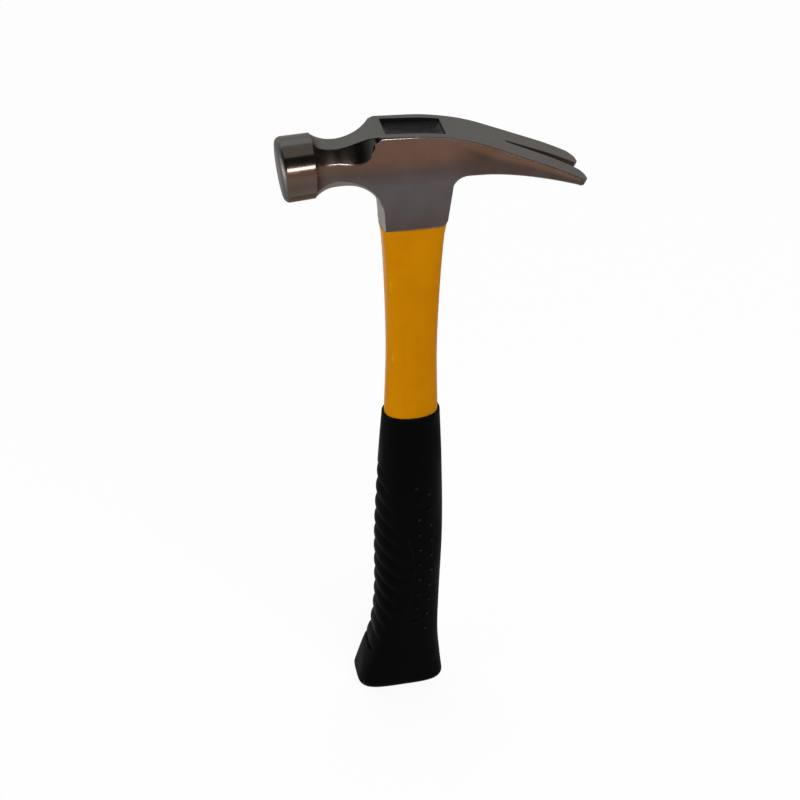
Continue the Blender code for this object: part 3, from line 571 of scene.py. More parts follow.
def claw_section(x, root_x):
    """Half a section of the claw at x, with the slot's edges drawn in from the eye."""
    share = (x - root_x) / (SLOT_REACH - root_x)
    if share < 1:
        inner = (
            mix(EYE_TOP_WIDTH / 2, SLOT_END / 2, share),
            mix(EYE_BOTTOM_WIDTH / 2, SLOT_END / 2, share),
        )
    else:
        inner = (slot_half_width(x), slot_half_width(x))
    side = claw_half_width(x)
    thickness = crown_height(x) - claw_underside(x)
    upper_break = min(EDGE_BREAK, thickness / 4)
    lower_break = min(UNDER_BREAK, thickness / 4)
    under = (x, claw_underside(x))
    side_lower = lower_edge(side, under, (0, 1), lower_break)
    points = half_section(
        top=(x, crown_height(x)),
        top_flat=side - upper_break,
        shoulder=(x, crown_height(x) - upper_break),
        side=side,
        side_lower=side_lower,
        under=under,
        under_flat=side_lower.y - lower_break,
        inner=inner,
        rounds=(1.0, 1.0),
    )
    for point in points:
        level = (point.z - claw_underside(x)) / thickness
        point.x = x - tip_setback(point.y, x, level)
        point.z = mix(claw_underside(point.x), crown_height(point.x), level)
    return points


print(f"nail slot: {CLAW_REACH - SLOT_REACH:.4f} long, {SLOT_MOUTH:.4f} wide at its mouth")

# %% [markdown]
# Now the sections are put in order, mirrored and skinned. The strips between the inner edge lines are
# left out over the eye and along the slot, and walls line both openings. The rims of eye and slot are
# then broken with a small bevel, as a file would break them, so that they catch a line of light.

# %% Head: skin the sections
RIM_BREAK = 0.00014
RIM_ANGLE = math.radians(58)
RIM_SEGMENTS = 2


def head_sections():
    """All half sections from the face to the tips, with the places of eye and slot."""
    bell = bell_and_flare_sections()
    neck = [neck_section(i / NECK_STEPS) for i in range(NECK_STEPS + 1)]
    block, eye_first, eye_last, root_x = block_sections()
    tip_start = CLAW_REACH - TIP_ROUND
    claw_x = [mix(root_x, SLOT_REACH, i / ROOT_STEPS) for i in range(1, ROOT_STEPS)]
    slot_first = len(claw_x)
    claw_x += [mix(SLOT_REACH, tip_start, i / SLOT_STEPS) for i in range(SLOT_STEPS)]
    tip_shares = [math.sin(math.pi / 2 * i / TIP_STEPS) for i in range(TIP_STEPS + 1)]
    claw_x += [mix(tip_start, CLAW_REACH, share) for share in tip_shares]
    claw = [claw_section(x, root_x) for x in claw_x]
    before_block = len(bell) + len(neck)
    eye = (before_block + eye_first, before_block + eye_last)
    return bell + neck + block + claw, eye, before_block + len(block) + slot_first


def skin_sections(bm, sections, gaps):
    """Rings of vertices joined into a closed skin, open between the inner edge lines at the gaps."""
    rings = []
    for half in sections:
        far = [bm.verts.new(point) for point in half]
        near = [bm.verts.new((point.x, -point.y, point.z)) for point in reversed(half[1:-1])]
        rings.append(far + near)
    count = len(rings[0])
    low = count // 2
    open_strips = [*range(MIDDLE), *range(low - MIDDLE, low + MIDDLE), *range(count - MIDDLE, count)]
    for i, (ring, after) in enumerate(zip(rings, rings[1:])):
        for k in range(count):
            if i in gaps and k in open_strips:
                continue
            n = (k + 1) % count
            bm.faces.new((ring[k], ring[n], after[n], after[k]))
    return rings, count, low


def line_opening(bm, rings, count, low, gaps, ends):
    """Long walls beside an opening, and a ladder of quads across each of its ends."""
    for i in gaps:
        for top, bottom in ((MIDDLE, low - MIDDLE), (count - MIDDLE, low + MIDDLE)):
            bm.faces.new((rings[i][top], rings[i + 1][top], rings[i + 1][bottom], rings[i][bottom]))
    for i in ends:
        for k in range(-MIDDLE, MIDDLE):
            top = (rings[i][k % count], rings[i][(k + 1) % count])
            bottom = (rings[i][low - k - 1], rings[i][low - k])
            bm.faces.new((*top, *bottom))


def build_head():
    sections, (eye_first, eye_last), slot_first = head_sections()
    last = len(sections) - 1
    eye_gaps = range(eye_first, eye_last)
    slot_gaps = range(slot_first, last)
    bm = bmesh.new()
    rings, count, low = skin_sections(bm, sections, [*eye_gaps, *slot_gaps])
    line_opening(bm, rings, count, low, eye_gaps, (eye_first, eye_last))
    line_opening(bm, rings, count, low, slot_gaps, (slot_first,))
    bm.faces.new(rings[0])
    bm.faces.new(rings[last][MIDDLE : low - MIDDLE + 1])
    bm.faces.new(rings[last][low + MIDDLE : count - MIDDLE + 1])
    bmesh.ops.delete(bm, geom=[vert for vert in bm.verts if not vert.link_faces], context="VERTS")
    bmesh.ops.recalc_face_normals(bm, faces=bm.faces)
    rims = [edge for edge in bm.edges if edge.calc_face_angle(0.0) > RIM_ANGLE]
    bmesh.ops.bevel(
        bm, geom=rims, offset=RIM_BREAK, segments=RIM_SEGMENTS, affect="EDGES", clamp_overlap=True
    )
    print("rim edges broken:", len(rims))
    return finish_piece("forged_head", bm)


forged_head = build_head()

# %% [markdown]
# The handle pieces are squared ovals stacked along the handle. One helper draws such an oval, another
# joins a stack of them into a tube. A cylinder with modifiers would be quicker, but could not follow
# the fit between core, jacket and grip.

# %% Handle: squared ovals
COLUMNS = 208  # points round each oval
CORE_SQUARENESS = 2.5  # 2 is an ellipse, more is squarer


def oval_point(angle, height, half_length, half_width, squareness, centre=0.0):
    """A point of a squared oval, which lies level at a height."""
    c = math.cos(angle)
    s = math.sin(angle)
    x = math.copysign(abs(c) ** (2 / squareness), c)
    y = math.copysign(abs(s) ** (2 / squareness), s)
    return Vector((centre + half_length * x, half_width * y, height))


def column_angles():
    return [2 * math.pi * k / COLUMNS for k in range(COLUMNS)]


def oval_row(height, half_length, half_width, squareness, centre=0.0):
    return [oval_point(a, height, half_length, half_width, squareness, centre) for a in column_angles()]


def join_rings(bm, first, second):
    for k in range(len(first)):
        n = (k + 1) % len(first)
        bm.faces.new((first[k], first[n], second[n], second[k]))


def skin_rows(bm, rows):
    """A tube through rows of points; gives back its rings of vertices."""
    rings = [[bm.verts.new(point) for point in row] for row in rows]
    for upper, lower in zip(rings, rings[1:]):
        join_rings(bm, upper, lower)
    return rings


def core_row(height, clearance):
    """A row round a bore that clears the glass-fibre core."""
    return oval_row(height, CORE_HALF_LENGTH + clearance, CORE_HALF_WIDTH + clearance, CORE_SQUARENESS)


print(f"core: {2 * CORE_HALF_LENGTH:.4f} by {2 * CORE_HALF_WIDTH:.4f}")

# %% [markdown]
# Cured resin fills the tapered eye round the end of the core. It was poured and shrank as it cured, so
# its surface is a shallow dish that hangs from the walls, a few millimetres below the crown. A flat lid
# would show one even tone, so the lid is made of shrinking rectangles.

# %% Resin: the poured fill
RESIN_RECESS = 0.0031
DISH_RISE = 0.0014  # rim of the dish over its middle
DISH_WIDTH = 0.0062
LID_INSETS = (0.0, 0.0003, 0.0007, 0.0012, 0.0018, 0.0025, 0.0033, 0.0042, 0.0051, 0.0060)


def eye_half_sizes(height):
    """Half-length, half-width and centre of the eye at a height."""
    share = (height - HEAD_BASE) / (crown_height(-EYE_FRONT) - HEAD_BASE)
    length = mix(EYE_BOTTOM_LENGTH, EYE_TOP_LENGTH, share) / 2
    width = mix(EYE_BOTTOM_WIDTH, EYE_TOP_WIDTH, share) / 2
    return length, width, -EYE_TOP_SHIFT * share


def resin_row(height, slope, inset):
    """A rectangular row inside the eye, with a point for each column of the core's rows."""
    points = []
    for angle in column_angles():
        reach = max(abs(math.cos(angle)), abs(math.sin(angle)))
        x_share = math.cos(angle) / reach
        y_share = math.sin(angle) / reach
        level = height - math.tan(slope) * x_share * EYE_TOP_LENGTH / 2
        length, width, centre = eye_half_sizes(level)
        climb = DISH_RISE * max(1 - inset / DISH_WIDTH, 0) ** 2
        x = centre + x_share * (length - FIT_GAP - inset)
        y = y_share * (width - FIT_GAP - inset)
        points.append(Vector((x, y, level + (climb if slope else 0.0))))
    return points


def build_resin():
    bm = bmesh.new()
    lid = [resin_row(HEAD_TOP - RESIN_RECESS, CROWN_SLOPE, inset) for inset in reversed(LID_INSETS)]
    outside = skin_rows(bm, [*lid, resin_row(HEAD_BASE, 0, 0.0)])
    bm.faces.new(outside[0])
    pocket = skin_rows(bm, [core_row(HEAD_BASE, FIT_GAP), core_row(CORE_TOP + FIT_GAP, FIT_GAP)])
    bm.faces.new(pocket[-1])
    join_rings(bm, outside[-1], pocket[0])
    return finish_piece("poured_resin", bm)


poured_resin = build_resin()

# %% [markdown]
# The jacket is a glossy amber plastic sleeve moulded over the core. It flares to a shoulder that the
# head sits on, with a small rounded lip, slims to a waist, and runs on down inside the grip.

# %% Jacket: the amber sleeve
JACKET_LEDGE = 0.0002
JACKET_CHEEK_LEDGE = 0.0005
JACKET_TOP_BREAK = 0.0006
JACKET_LIP = 0.0066
LIP_WALL = 0.0050
JACKET_FLARE = 0.0336
FLARE_WALL = 0.0036
WAIST_HEIGHT = 0.2140
WAIST_WALL = 0.0030
TAIL_WALL = 0.0040
SIDE_WALL = 0.0039
SHOULDER_SQUARENESS = 4.0
WAIST_SQUARENESS = 2.5
GRIP_SQUARENESS = 2.2
JACKET_STEPS = 72
LIP_STEPS = 6
BORE_HALF_LENGTH = CORE_HALF_LENGTH + FIT_GAP
BORE_HALF_WIDTH = CORE_HALF_WIDTH + FIT_GAP


def jacket_sizes(height):
    """Half-length, half-width and squareness of the jacket's outside at a height."""
    length_keys = (
        (JACKET_TOP, SOCKET_FRONT - JACKET_LEDGE),
        (JACKET_TOP - JACKET_LIP, BORE_HALF_LENGTH + LIP_WALL),
        (JACKET_TOP - JACKET_FLARE, BORE_HALF_LENGTH + FLARE_WALL),
        (WAIST_HEIGHT, BORE_HALF_LENGTH + WAIST_WALL),
        (GRIP_LENGTH, BORE_HALF_LENGTH + TAIL_WALL),
    )
    width_keys = (
        (JACKET_TOP, SOCKET_HALF - JACKET_CHEEK_LEDGE),
        (JACKET_TOP - JACKET_FLARE, BORE_HALF_WIDTH + SIDE_WALL),
        (GRIP_LENGTH, BORE_HALF_WIDTH + SIDE_WALL),
    )
    squareness_keys = (
        (JACKET_TOP, SHOULDER_SQUARENESS),
        (WAIST_HEIGHT, WAIST_SQUARENESS),
        (GRIP_LENGTH, GRIP_SQUARENESS),
    )
    return spline(length_keys, height), spline(width_keys, height), spline(squareness_keys, height)


def jacket_row(height, clearance):
    length, width, squareness = jacket_sizes(height)
    return oval_row(height, length + clearance, width + clearance, squareness)


def build_jacket():
    bm = bmesh.new()
    rows = []
    for i in range(LIP_STEPS):
        angle = math.pi / 2 * i / LIP_STEPS
        inset = JACKET_TOP_BREAK * (1 - math.sin(angle))
        rows.append(jacket_row(JACKET_TOP - JACKET_TOP_BREAK * (1 - math.cos(angle)), -inset))
    upper = JACKET_TOP - JACKET_TOP_BREAK
    rows += [jacket_row(mix(upper, GRIP_LENGTH, i / JACKET_STEPS), 0) for i in range(JACKET_STEPS + 1)]
    rows.append(jacket_row(JACKET_FOOT, 0))
    outside = skin_rows(bm, rows)
    bore = skin_rows(bm, [core_row(JACKET_TOP, FIT_GAP), core_row(JACKET_FOOT, FIT_GAP)])
    join_rings(bm, outside[0], bore[0])
    join_rings(bm, outside[-1], bore[-1])
    return finish_piece("amber_jacket", bm)


amber_jacket = build_jacket()

# %% [markdown]
# The grip is a black rubber sleeve with a closed, flared butt that leans towards the striking face. Its
# plain outside comes from keyed walls over the jacket, as on the drawing of a mould.

# %% Grip: the plain outside
COLLAR_LENGTH = 0.0320
RIB_TOP = GRIP_LENGTH - COLLAR_LENGTH
RIM_WALL = 0.0008
COLLAR_WALL = 0.0026
SWELL_HEIGHT = 0.1020
SWELL_WALL = 0.0041
SWELL_SIDE_WALL = 0.0039
PALM_HEIGHT = 0.0580
PALM_WALL = 0.0035
HEEL_HEIGHT = 0.0340
HEEL_WALL = 0.0045
SPREAD_HEIGHT = 0.0160
SPREAD_WALL = 0.0076
BUTT_WALL = 0.0098
BUTT_SIDE_WALL = 0.0049
BUTT_ROUND = 0.0042
BUTT_SQUARENESS = 4.0
SWELL_LEAN = 0.0008
PALM_LEAN = 0.0015
HEEL_LEAN = 0.0029
SPREAD_LEAN = 0.0048
BUTT_LEAN = 0.0058
jacket_end_length, jacket_end_width = jacket_sizes(GRIP_LENGTH)[:2]


def grip_sizes(height):
    """Half-length, half-width, squareness and centre of the grip's outside, without ribs or nubs."""
    length_keys = (
        (GRIP_LENGTH, RIM_WALL),
        (RIB_TOP, COLLAR_WALL),
        (SWELL_HEIGHT, SWELL_WALL),
        (PALM_HEIGHT, PALM_WALL),
        (HEEL_HEIGHT, HEEL_WALL),
        (SPREAD_HEIGHT, SPREAD_WALL),
        (BUTT_ROUND, BUTT_WALL),
    )
    width_keys = (
        (GRIP_LENGTH, RIM_WALL),
        (RIB_TOP, COLLAR_WALL),
        (SWELL_HEIGHT, SWELL_SIDE_WALL),
        (HEEL_HEIGHT, SWELL_SIDE_WALL),
        (BUTT_ROUND, BUTT_SIDE_WALL),
    )
    lean_keys = (
        (GRIP_LENGTH, 0.0),
        (SWELL_HEIGHT, SWELL_LEAN),
        (PALM_HEIGHT, PALM_LEAN),
        (HEEL_HEIGHT, HEEL_LEAN),
        (SPREAD_HEIGHT, SPREAD_LEAN),
        (BUTT_ROUND, BUTT_LEAN),
    )
    squareness_keys = (
        (SWELL_HEIGHT, GRIP_SQUARENESS),
        (HEEL_HEIGHT, mix(GRIP_SQUARENESS, BUTT_SQUARENESS, 0.5)),
        (BUTT_ROUND, BUTT_SQUARENESS),
    )
    half_length = jacket_end_length + FIT_GAP + spline(length_keys, height)
    half_width = jacket_end_width + FIT_GAP + spline(width_keys, height)
    return half_length, half_width, spline(squareness_keys, height), -spline(lean_keys, height)


print(f"grip is {2 * grip_sizes(SWELL_HEIGHT)[0]:.4f} long at its swell")

# %% [markdown]
# What makes the grip a grip is its relief. Twelve finger ribs wrap the side towards the face and fall
# down the flanks, two staggered columns of nubs stand on each flank, and a plain panel with a bowed rim
# lies between them. All of it is real geometry: each vertex of a fine grid is moved out or in.

# %% Grip: ribs, nubs and panel
RIB_COUNT = 12
RIB_DEPTH = 0.0009
RIB_FOOT = 0.0255
RIB_DROP = 0.0090  # how far a rib falls from the grip's edge to its flat side
RIB_NARROW = math.radians(43)
RIB_BROAD = math.radians(86)
RIB_RUNOUT = math.radians(29)
NOTCH_SHARPNESS = 1.2
NUB_PITCH = (RIB_TOP - RIB_FOOT) / RIB_COUNT
NUB_COUNT = 10
NUB_RADIUS = 0.0013
NUB_RISE = 0.00070
NUB_TOP = 0.1360  # height of the first nub of the inner column
NUB_MIDDLE = 0.0915  # height where the columns bow out most
NUB_COLUMNS = (0.0030, 0.0089)  # handle axis to the columns there
NUB_BOW = 0.0022
NUB_STAGGER = 0.5  # the outer column hangs this share of a pitch lower
PANEL_MIDDLE = 0.0810
PANEL_HALF_HEIGHT = 0.0315
PANEL_EDGE = -0.0002  # handle axis to the panel's bowed edge
PANEL_BOW = 0.0056
PANEL_RIM_WIDTH = 0.0007
PANEL_RIM_RISE = 0.00040
PANEL_RIM_FADE = 3  # the rim runs out over one part in this many of its half height


def notch_depth(along_rib, from_edge, reach):
    """How deep the valley between two ribs is; along_rib counts ribs from the top."""
    phase = along_rib % 1.0
    notch = (1 - math.sin(math.pi * phase)) ** NOTCH_SHARPNESS
    return RIB_DEPTH * notch * ease((reach - from_edge) / RIB_RUNOUT)


def nub_rise(x, height):
    """Height of the round nubs at a place on a flank."""
    rise = 0.0
    for column, middle in enumerate(NUB_COLUMNS):
        first = NUB_TOP - NUB_STAGGER * NUB_PITCH * column
        row = round((first - height) / NUB_PITCH)
        if not 0 <= row < NUB_COUNT:
            continue
        nub_height = first - row * NUB_PITCH
        bow = ((nub_height - NUB_MIDDLE) / (NUB_TOP - NUB_MIDDLE)) ** 2
        away = math.hypot(x - middle + NUB_BOW * bow, height - nub_height) / NUB_RADIUS
        rise += NUB_RISE * (1 - ease(away))
    return rise


def panel_rise(x, height):
    """The thin raised rim along the bowed edge of the plain panel."""
    share = (height - PANEL_MIDDLE) / PANEL_HALF_HEIGHT
    if abs(share) > 1:
        return 0.0
    edge = PANEL_EDGE - PANEL_BOW * share**2
    across = 1 - ease(abs(x - edge) / PANEL_RIM_WIDTH)
    return PANEL_RIM_RISE * across * ease(PANEL_RIM_FADE * (1 - abs(share)))


print(f"ribs and nubs are {NUB_PITCH:.4f} apart")

# %% [markdown]
# The rows of the grid fall with the ribs, so that every valley follows one row of vertices and stays
# crisp. Above and below the ribs the rows level out to meet the straight rim and the flat butt.

# %% Grip: build the sleeve
GRIP_RIM_BREAK = 0.0005
GRIP_CREASE = math.radians(60)
COLLAR_STEPS = 40
ROWS_PER_RIB = 20
HEEL_STEPS = 30
BUTT_STEPS = 10
RIM_STEPS = 5


def grip_row(height, along_rib):
    """A row round the grip that falls along the ribs."""
    along = (RIB_TOP - height) / (RIB_TOP - RIB_FOOT)
    fade = ease((GRIP_LENGTH - height) / (2 * COLLAR_LENGTH))
    fade *= ease((height - BUTT_ROUND) / HEEL_HEIGHT)
    reach = mix(RIB_NARROW, RIB_BROAD, math.sin(math.pi * min(max(along, 0), 1)))
    points = []
    for angle in column_angles():
        from_edge = abs(math.pi - angle)
        level = height - RIB_DROP * fade * ease(from_edge / (math.pi / 2))
        length, width, squareness, centre = grip_sizes(level)
        depth = notch_depth(along_rib, from_edge, reach) if along_rib is not None else 0.0
        point = oval_point(angle, level, length - depth, width - depth, squareness, centre)
        raised = nub_rise(point.x, level) + panel_rise(point.x, level)
        outward = Vector(((point.x - centre) / length**2, point.y / width**2, 0)).normalized()
        points.append(point + outward * raised)
    return points


def butt_row(angle):
    """A row round the rounded lower end; the angle is 0 at the side, a right angle at the butt."""
    length, width, squareness, centre = grip_sizes(BUTT_ROUND)
    inset = BUTT_ROUND * (1 - math.cos(angle))
    height = BUTT_ROUND * (1 - math.sin(angle))
    return oval_row(height, length - inset, width - inset, squareness, centre)


def rim_row(angle):
    """A row over the rounded upper rim; the angle is 0 on top, a right angle at the side."""
    length, width, squareness, centre = grip_sizes(GRIP_LENGTH)
    inset = GRIP_RIM_BREAK * (1 - math.sin(angle))
    height = GRIP_LENGTH - GRIP_RIM_BREAK * (1 - math.cos(angle))
    return oval_row(height, length - inset, width - inset, squareness, centre)


def build_grip():
    bm = bmesh.new()
    rows = [rim_row(math.pi / 2 * i / RIM_STEPS) for i in range(RIM_STEPS)]
    upper = GRIP_LENGTH - GRIP_RIM_BREAK
    rows += [grip_row(mix(upper, RIB_TOP, i / COLLAR_STEPS), None) for i in range(COLLAR_STEPS)]
    steps = RIB_COUNT * ROWS_PER_RIB
    rows += [grip_row(mix(RIB_TOP, RIB_FOOT, i / steps), i / ROWS_PER_RIB) for i in range(steps + 1)]
    rows += [grip_row(mix(RIB_FOOT, BUTT_ROUND, i / HEEL_STEPS), None) for i in range(1, HEEL_STEPS)]
    rows += [butt_row(math.pi / 2 * i / BUTT_STEPS) for i in range(BUTT_STEPS + 1)]
    outside = skin_rows(bm, rows)
    bm.faces.new(outside[-1])
    pocket_floor = JACKET_FOOT - FIT_GAP
    pocket = skin_rows(bm, [jacket_row(GRIP_LENGTH, FIT_GAP), jacket_row(pocket_floor, FIT_GAP)])
    bm.faces.new(pocket[-1])
    join_rings(bm, outside[0], pocket[0])
    return finish_piece("ribbed_grip", bm, GRIP_CREASE)


ribbed_grip = build_grip()

# %% [markdown]
# Materials are node trees. A few helpers keep them readable: one fills a node's inputs, others wrap the
# maths, range, mix and noise nodes that come up again and again. A mask is a value that is 1 where a
# finish shows and 0 elsewhere. It rises or falls over a small range, so that no hard line is drawn.

# %% Node helpers
def fill(tree, node, sockets):
    """Fill a node's inputs: another node's socket is linked, a number or colour is set."""
    for key, value in sockets.items():
        socket = node.inputs[key]
        if isinstance(value, bpy.types.NodeSocket):
            tree.links.new(value, socket)
        else:
            socket.default_value = (*value, 1.0) if socket.type == "RGBA" else value


def add_node(tree, kind, sockets=None, **settings):
    """A new node with its settings made and its inputs filled."""
    node = tree.nodes.new(kind)
    for name, value in settings.items():
        setattr(node, name, value)
    fill(tree, node, sockets or {})
    return node


def calculate(tree, operation, first, second=0.0):
    return add_node(tree, "ShaderNodeMath", {0: first, 1: second}, operation=operation).outputs[0]


def product(tree, first, *others):
    """All values multiplied; of masks, 1 only where every one of them is."""
    for other in others:
        first = calculate(tree, "MULTIPLY", first, other)
    return first


def rising(tree, value, low, high, to_low=0.0, to_high=1.0):
    """A smooth step from to_low to to_high as the value goes from low to high."""
    sockets = {"Value": value, "From Min": low, "From Max": high, "To Min": to_low, "To Max": to_high}
    node = add_node(tree, "ShaderNodeMapRange", sockets, interpolation_type="SMOOTHSTEP")
    return node.outputs["Result"]


def falling(tree, value, low, high):
    return rising(tree, value, low, high, 1.0, 0.0)


def band(tree, value, start, full, fade, end):
    """A mask that rises from start to full and falls from fade to end."""
    return product(tree, rising(tree, value, start, full), falling(tree, value, fade, end))


def between(tree, mask, low, high):
    """A value that goes from low to high with a mask."""
    return rising(tree, mask, 0.0, 1.0, low, high)


def blend(tree, mask, first, second):
    """Mix two colours by a mask."""
    sockets = {0: mask, 6: first, 7: second}
    return add_node(tree, "ShaderNodeMix", sockets, data_type="RGBA").outputs[2]


def place(tree):
    """The surface point in the object's own metres."""
    return add_node(tree, "ShaderNodeTexCoord").outputs["Object"]


def noise(tree, point, scale, detail=2.0):
    sockets = {"Vector": point, "Scale": scale, "Detail": detail}
    return add_node(tree, "ShaderNodeTexNoise", sockets).outputs["Fac"]


print("node helpers ready")

# %% [markdown]
# Some effects turn up in several finishes, so each becomes a node group with named sockets. Cloudiness
# is the slow, uneven tone of lacquer, plastic and rubber. Drawn lines are fine streaks along one
# direction: belt marks on the steel, fibres in the core. Worn edges finds convex edges and breaks them
# up. Fine grain is the small relief of a moulded or blasted skin.

# %% Shared effects as node groups
BREAKUP = (0.35, 0.6)  # noise between these values breaks up a worn edge


def start_group(name, inputs, output):
    """A node group with named inputs at their usual values and one output, and its end nodes."""
    tree = bpy.data.node_groups.new(name, "ShaderNodeTree")
    for socket_name, value in inputs.items():
        kind = "NodeSocketVector" if isinstance(value, tuple) else "NodeSocketFloat"
        socket = tree.interface.new_socket(socket_name, in_out="INPUT", socket_type=kind)
        socket.default_value = value
    tree.interface.new_socket(output, in_out="OUTPUT", socket_type="NodeSocketFloat")
    return tree, tree.nodes.new("NodeGroupInput").outputs, tree.nodes.new("NodeGroupOutput")


def make_cloudiness():
    inputs = {"Scale": 60.0, "Low": 0.3, "High": 0.7}
    tree, given, end = start_group("cloudiness", inputs, "Mask")
    clouds = noise(tree, place(tree), given["Scale"], detail=4.0)
    fill(tree, end, {"Mask": rising(tree, clouds, given["Low"], given["High"])})
    return tree


def make_drawn_lines():
    inputs = {"Fineness": (4000.0, 4000.0, 60.0), "Low": 0.3, "High": 0.7}
    tree, given, end = start_group("drawn_lines", inputs, "Mask")
    sockets = {0: place(tree), 1: given["Fineness"]}
    stretched = add_node(tree, "ShaderNodeVectorMath", sockets, operation="MULTIPLY").outputs[0]
    lines = noise(tree, stretched, 1.0, detail=3.0)
    fill(tree, end, {"Mask": rising(tree, lines, given["Low"], given["High"])})
    return tree


def make_worn_edges():
    inputs = {"Start": 0.505, "Full": 0.56, "Breakup Scale": 300.0}
    tree, given, end = start_group("worn_edges", inputs, "Mask")
    pointed = add_node(tree, "ShaderNodeNewGeometry").outputs["Pointiness"]
    edge = rising(tree, pointed, given["Start"], given["Full"])
    broken = rising(tree, noise(tree, place(tree), given["Breakup Scale"], detail=3.0), *BREAKUP)
    fill(tree, end, {"Mask": product(tree, edge, broken)})
    return tree


def make_fine_grain():
    inputs = {"Scale": 2500.0, "Coarse Scale": 600.0}
    tree, given, end = start_group("fine_grain", inputs, "Height")
    point = place(tree)
    fine = noise(tree, point, given["Scale"])
    coarse = noise(tree, point, given["Coarse Scale"])
    fill(tree, end, {"Height": product(tree, calculate(tree, "ADD", fine, coarse), 0.5)})
    return tree


effects = {}
for make_effect in (make_cloudiness, make_drawn_lines, make_worn_edges, make_fine_grain):
    effect = make_effect()
    effects[effect.name] = effect
print("effects:", sorted(effects))

# %% [markdown]
# Every material starts and ends alike. Numbers that are the same all over are set on the shader's own
# sockets, and colour, roughness and relief are linked last.

# %% Material helpers
def use(tree, name, sockets):
    """Place a shared effect with its own values."""
    return add_node(tree, "ShaderNodeGroup", sockets, node_tree=effects[name]).outputs[0]


def start_material(name, constants):
    material = bpy.data.materials.new(name)
    material.use_nodes = True
    tree = material.node_tree
    shader = tree.nodes["Principled BSDF"]
    fill(tree, shader, constants)
    print("material", material.name)
    return material, tree, shader


def finish_surface(tree, shader, tone, roughness, relief, depth):
    """Link colour, roughness and relief; a relief of 1 stands for the depth in metres."""
    bump = add_node(tree, "ShaderNodeBump", {"Height": relief, "Distance": depth, "Strength": 1.0})
    fill(tree, shader, {"Base Color": tone, "Roughness": roughness, "Normal": bump.outputs["Normal"]})


print("material helpers ready")

# %% [markdown]
# The steel is a dark satin forging under clear lacquer. The cheeks and the sides of neck and claw are
# belt ground, with fine upright marks. Their warm, brownish tone that cools towards the socket is a
# painted reflection, laid on in bands by height. The top faces are neutral grey and the bell is
# polished.
# A few edges carry painted highlights, and more tones paint light and shade by the way a face tilts.
# First come the tones.

# %% Steel: tones
SIDE_REFLECTION_TONES = (  # height over the socket's underside and colour of the sides there, painted reflection bands
    (0.0010, (0.066, 0.045, 0.040)),
    (0.0104, (0.074, 0.062, 0.063)),
    (0.0234, (0.082, 0.070, 0.074)),
    (0.0304, (0.074, 0.050, 0.043)),
    (0.0374, (0.128, 0.065, 0.042)),
)
CLAW_REFLECTION_TONES = ((0.128, 0.064, 0.038), (0.057, 0.034, 0.026))  # the claw's sides at their top and lower, painted reflection bands
CLAW_TONE_DEPTHS = (0.0020, 0.0058)  # below the claw's top face, at its root
CLAW_TONE_TAPER = 2.4  # how many times less deep they lie at the tips
CLAW_TONE_X = (0.012, 0.030)  # where they take over from the cheek's
TOP_TONE = (0.114, 0.116, 0.111)
PAINTED_HIGHLIGHT_TONE = (0.20, 0.19, 0.18)  # painted highlight on edges, on the neck and at the front of the cheeks
BELL_SLANT_REFLECTION_TONE = (0.122, 0.096, 0.078)  # painted reflection on the slanted faces of the bell
NECK_DARK_REFLECTION_TONE = (0.050, 0.034, 0.026)  # painted dark reflection on the neck's upper chamfers
RUN_OUT_DARK_REFLECTION_TONE = (0.020, 0.018, 0.016)  # painted dark reflection where those run out at the cheek
EDGE_LINE_DARK_REFLECTION_TONE = (0.014, 0.011, 0.010)  # painted dark reflection line along the upper edges of the cheeks and the claw
UNDER_FLOOR_REFLECTION_TONE = (0.270, 0.235, 0.205)  # painted reflection of the floor on lower chamfers and undersides
# painted reflection of the floor on the bell's underside
BELL_UNDER_FLOOR_REFLECTION_TONE = (0.110, 0.072, 0.048)
FORGED_END_AND_REFLECTION_TONE = (0.285, 0.288, 0.274)  # front end of the socket, left as forged; its light grey is partly a painted reflection of the white on the left
RAW_AND_SHADE_TONE = (0.046, 0.031, 0.028)  # slot and tip ends, left as cut; their darker tone is partly painted shade
FACE_TONE = (0.105, 0.101, 0.097)
EYE_SHADE_AND_LIGHT_TONES = ((0.009, 0.010, 0.010), (0.25, 0.24, 0.25))  # walls of the eye in painted shade, and its rear wall in painted light
HAZE_TONE = (0.15, 0.128, 0.116)  # clouds in the lacquer
BELT_TONE = (0.05, 0.042, 0.04)  # marks of the grinding belt
RUBBED_TONE = (0.30, 0.29, 0.28)
HAZE_SHARE = 0.18
BELT_SHARE = 0.12
RUBBED_SHARE = 0.12


def side_reflection_tone(tree, where):
    """The sides' colour in painted reflection bands: by height on the cheeks, by depth below the top
    face on the claw.
    """
    above = calculate(tree, "SUBTRACT", where["Z"], HEAD_BASE)
    ramp = add_node(tree, "ShaderNodeValToRGB", {"Fac": calculate(tree, "DIVIDE", above, HEAD_HEIGHT)})
    stops = ramp.color_ramp.elements
    while len(stops) < len(SIDE_REFLECTION_TONES):
        stops.new(1.0)
    for stop, (height, tone) in zip(stops, SIDE_REFLECTION_TONES):
        stop.position = height / HEAD_HEIGHT
        stop.color = (*tone, 1.0)
    past_eye = calculate(tree, "SUBTRACT", where["X"], EYE_TOP_LENGTH / 2)
    fallen = product(tree, calculate(tree, "MAXIMUM", past_eye, 0.0), math.tan(CLAW_SLOPE))
    depth = calculate(tree, "SUBTRACT", calculate(tree, "SUBTRACT", HEAD_HEIGHT, fallen), above)
    taper = rising(tree, where["X"], CLAW_BEND, CLAW_REACH, 1.0, CLAW_TONE_TAPER)
    lower = rising(tree, product(tree, depth, taper), *CLAW_TONE_DEPTHS)
    claw = blend(tree, lower, *CLAW_REFLECTION_TONES)
    return blend(tree, rising(tree, where["X"], *CLAW_TONE_X), ramp.outputs["Color"], claw)


print("tones of the ground sides:", len(SIDE_REFLECTION_TONES) + len(CLAW_REFLECTION_TONES))

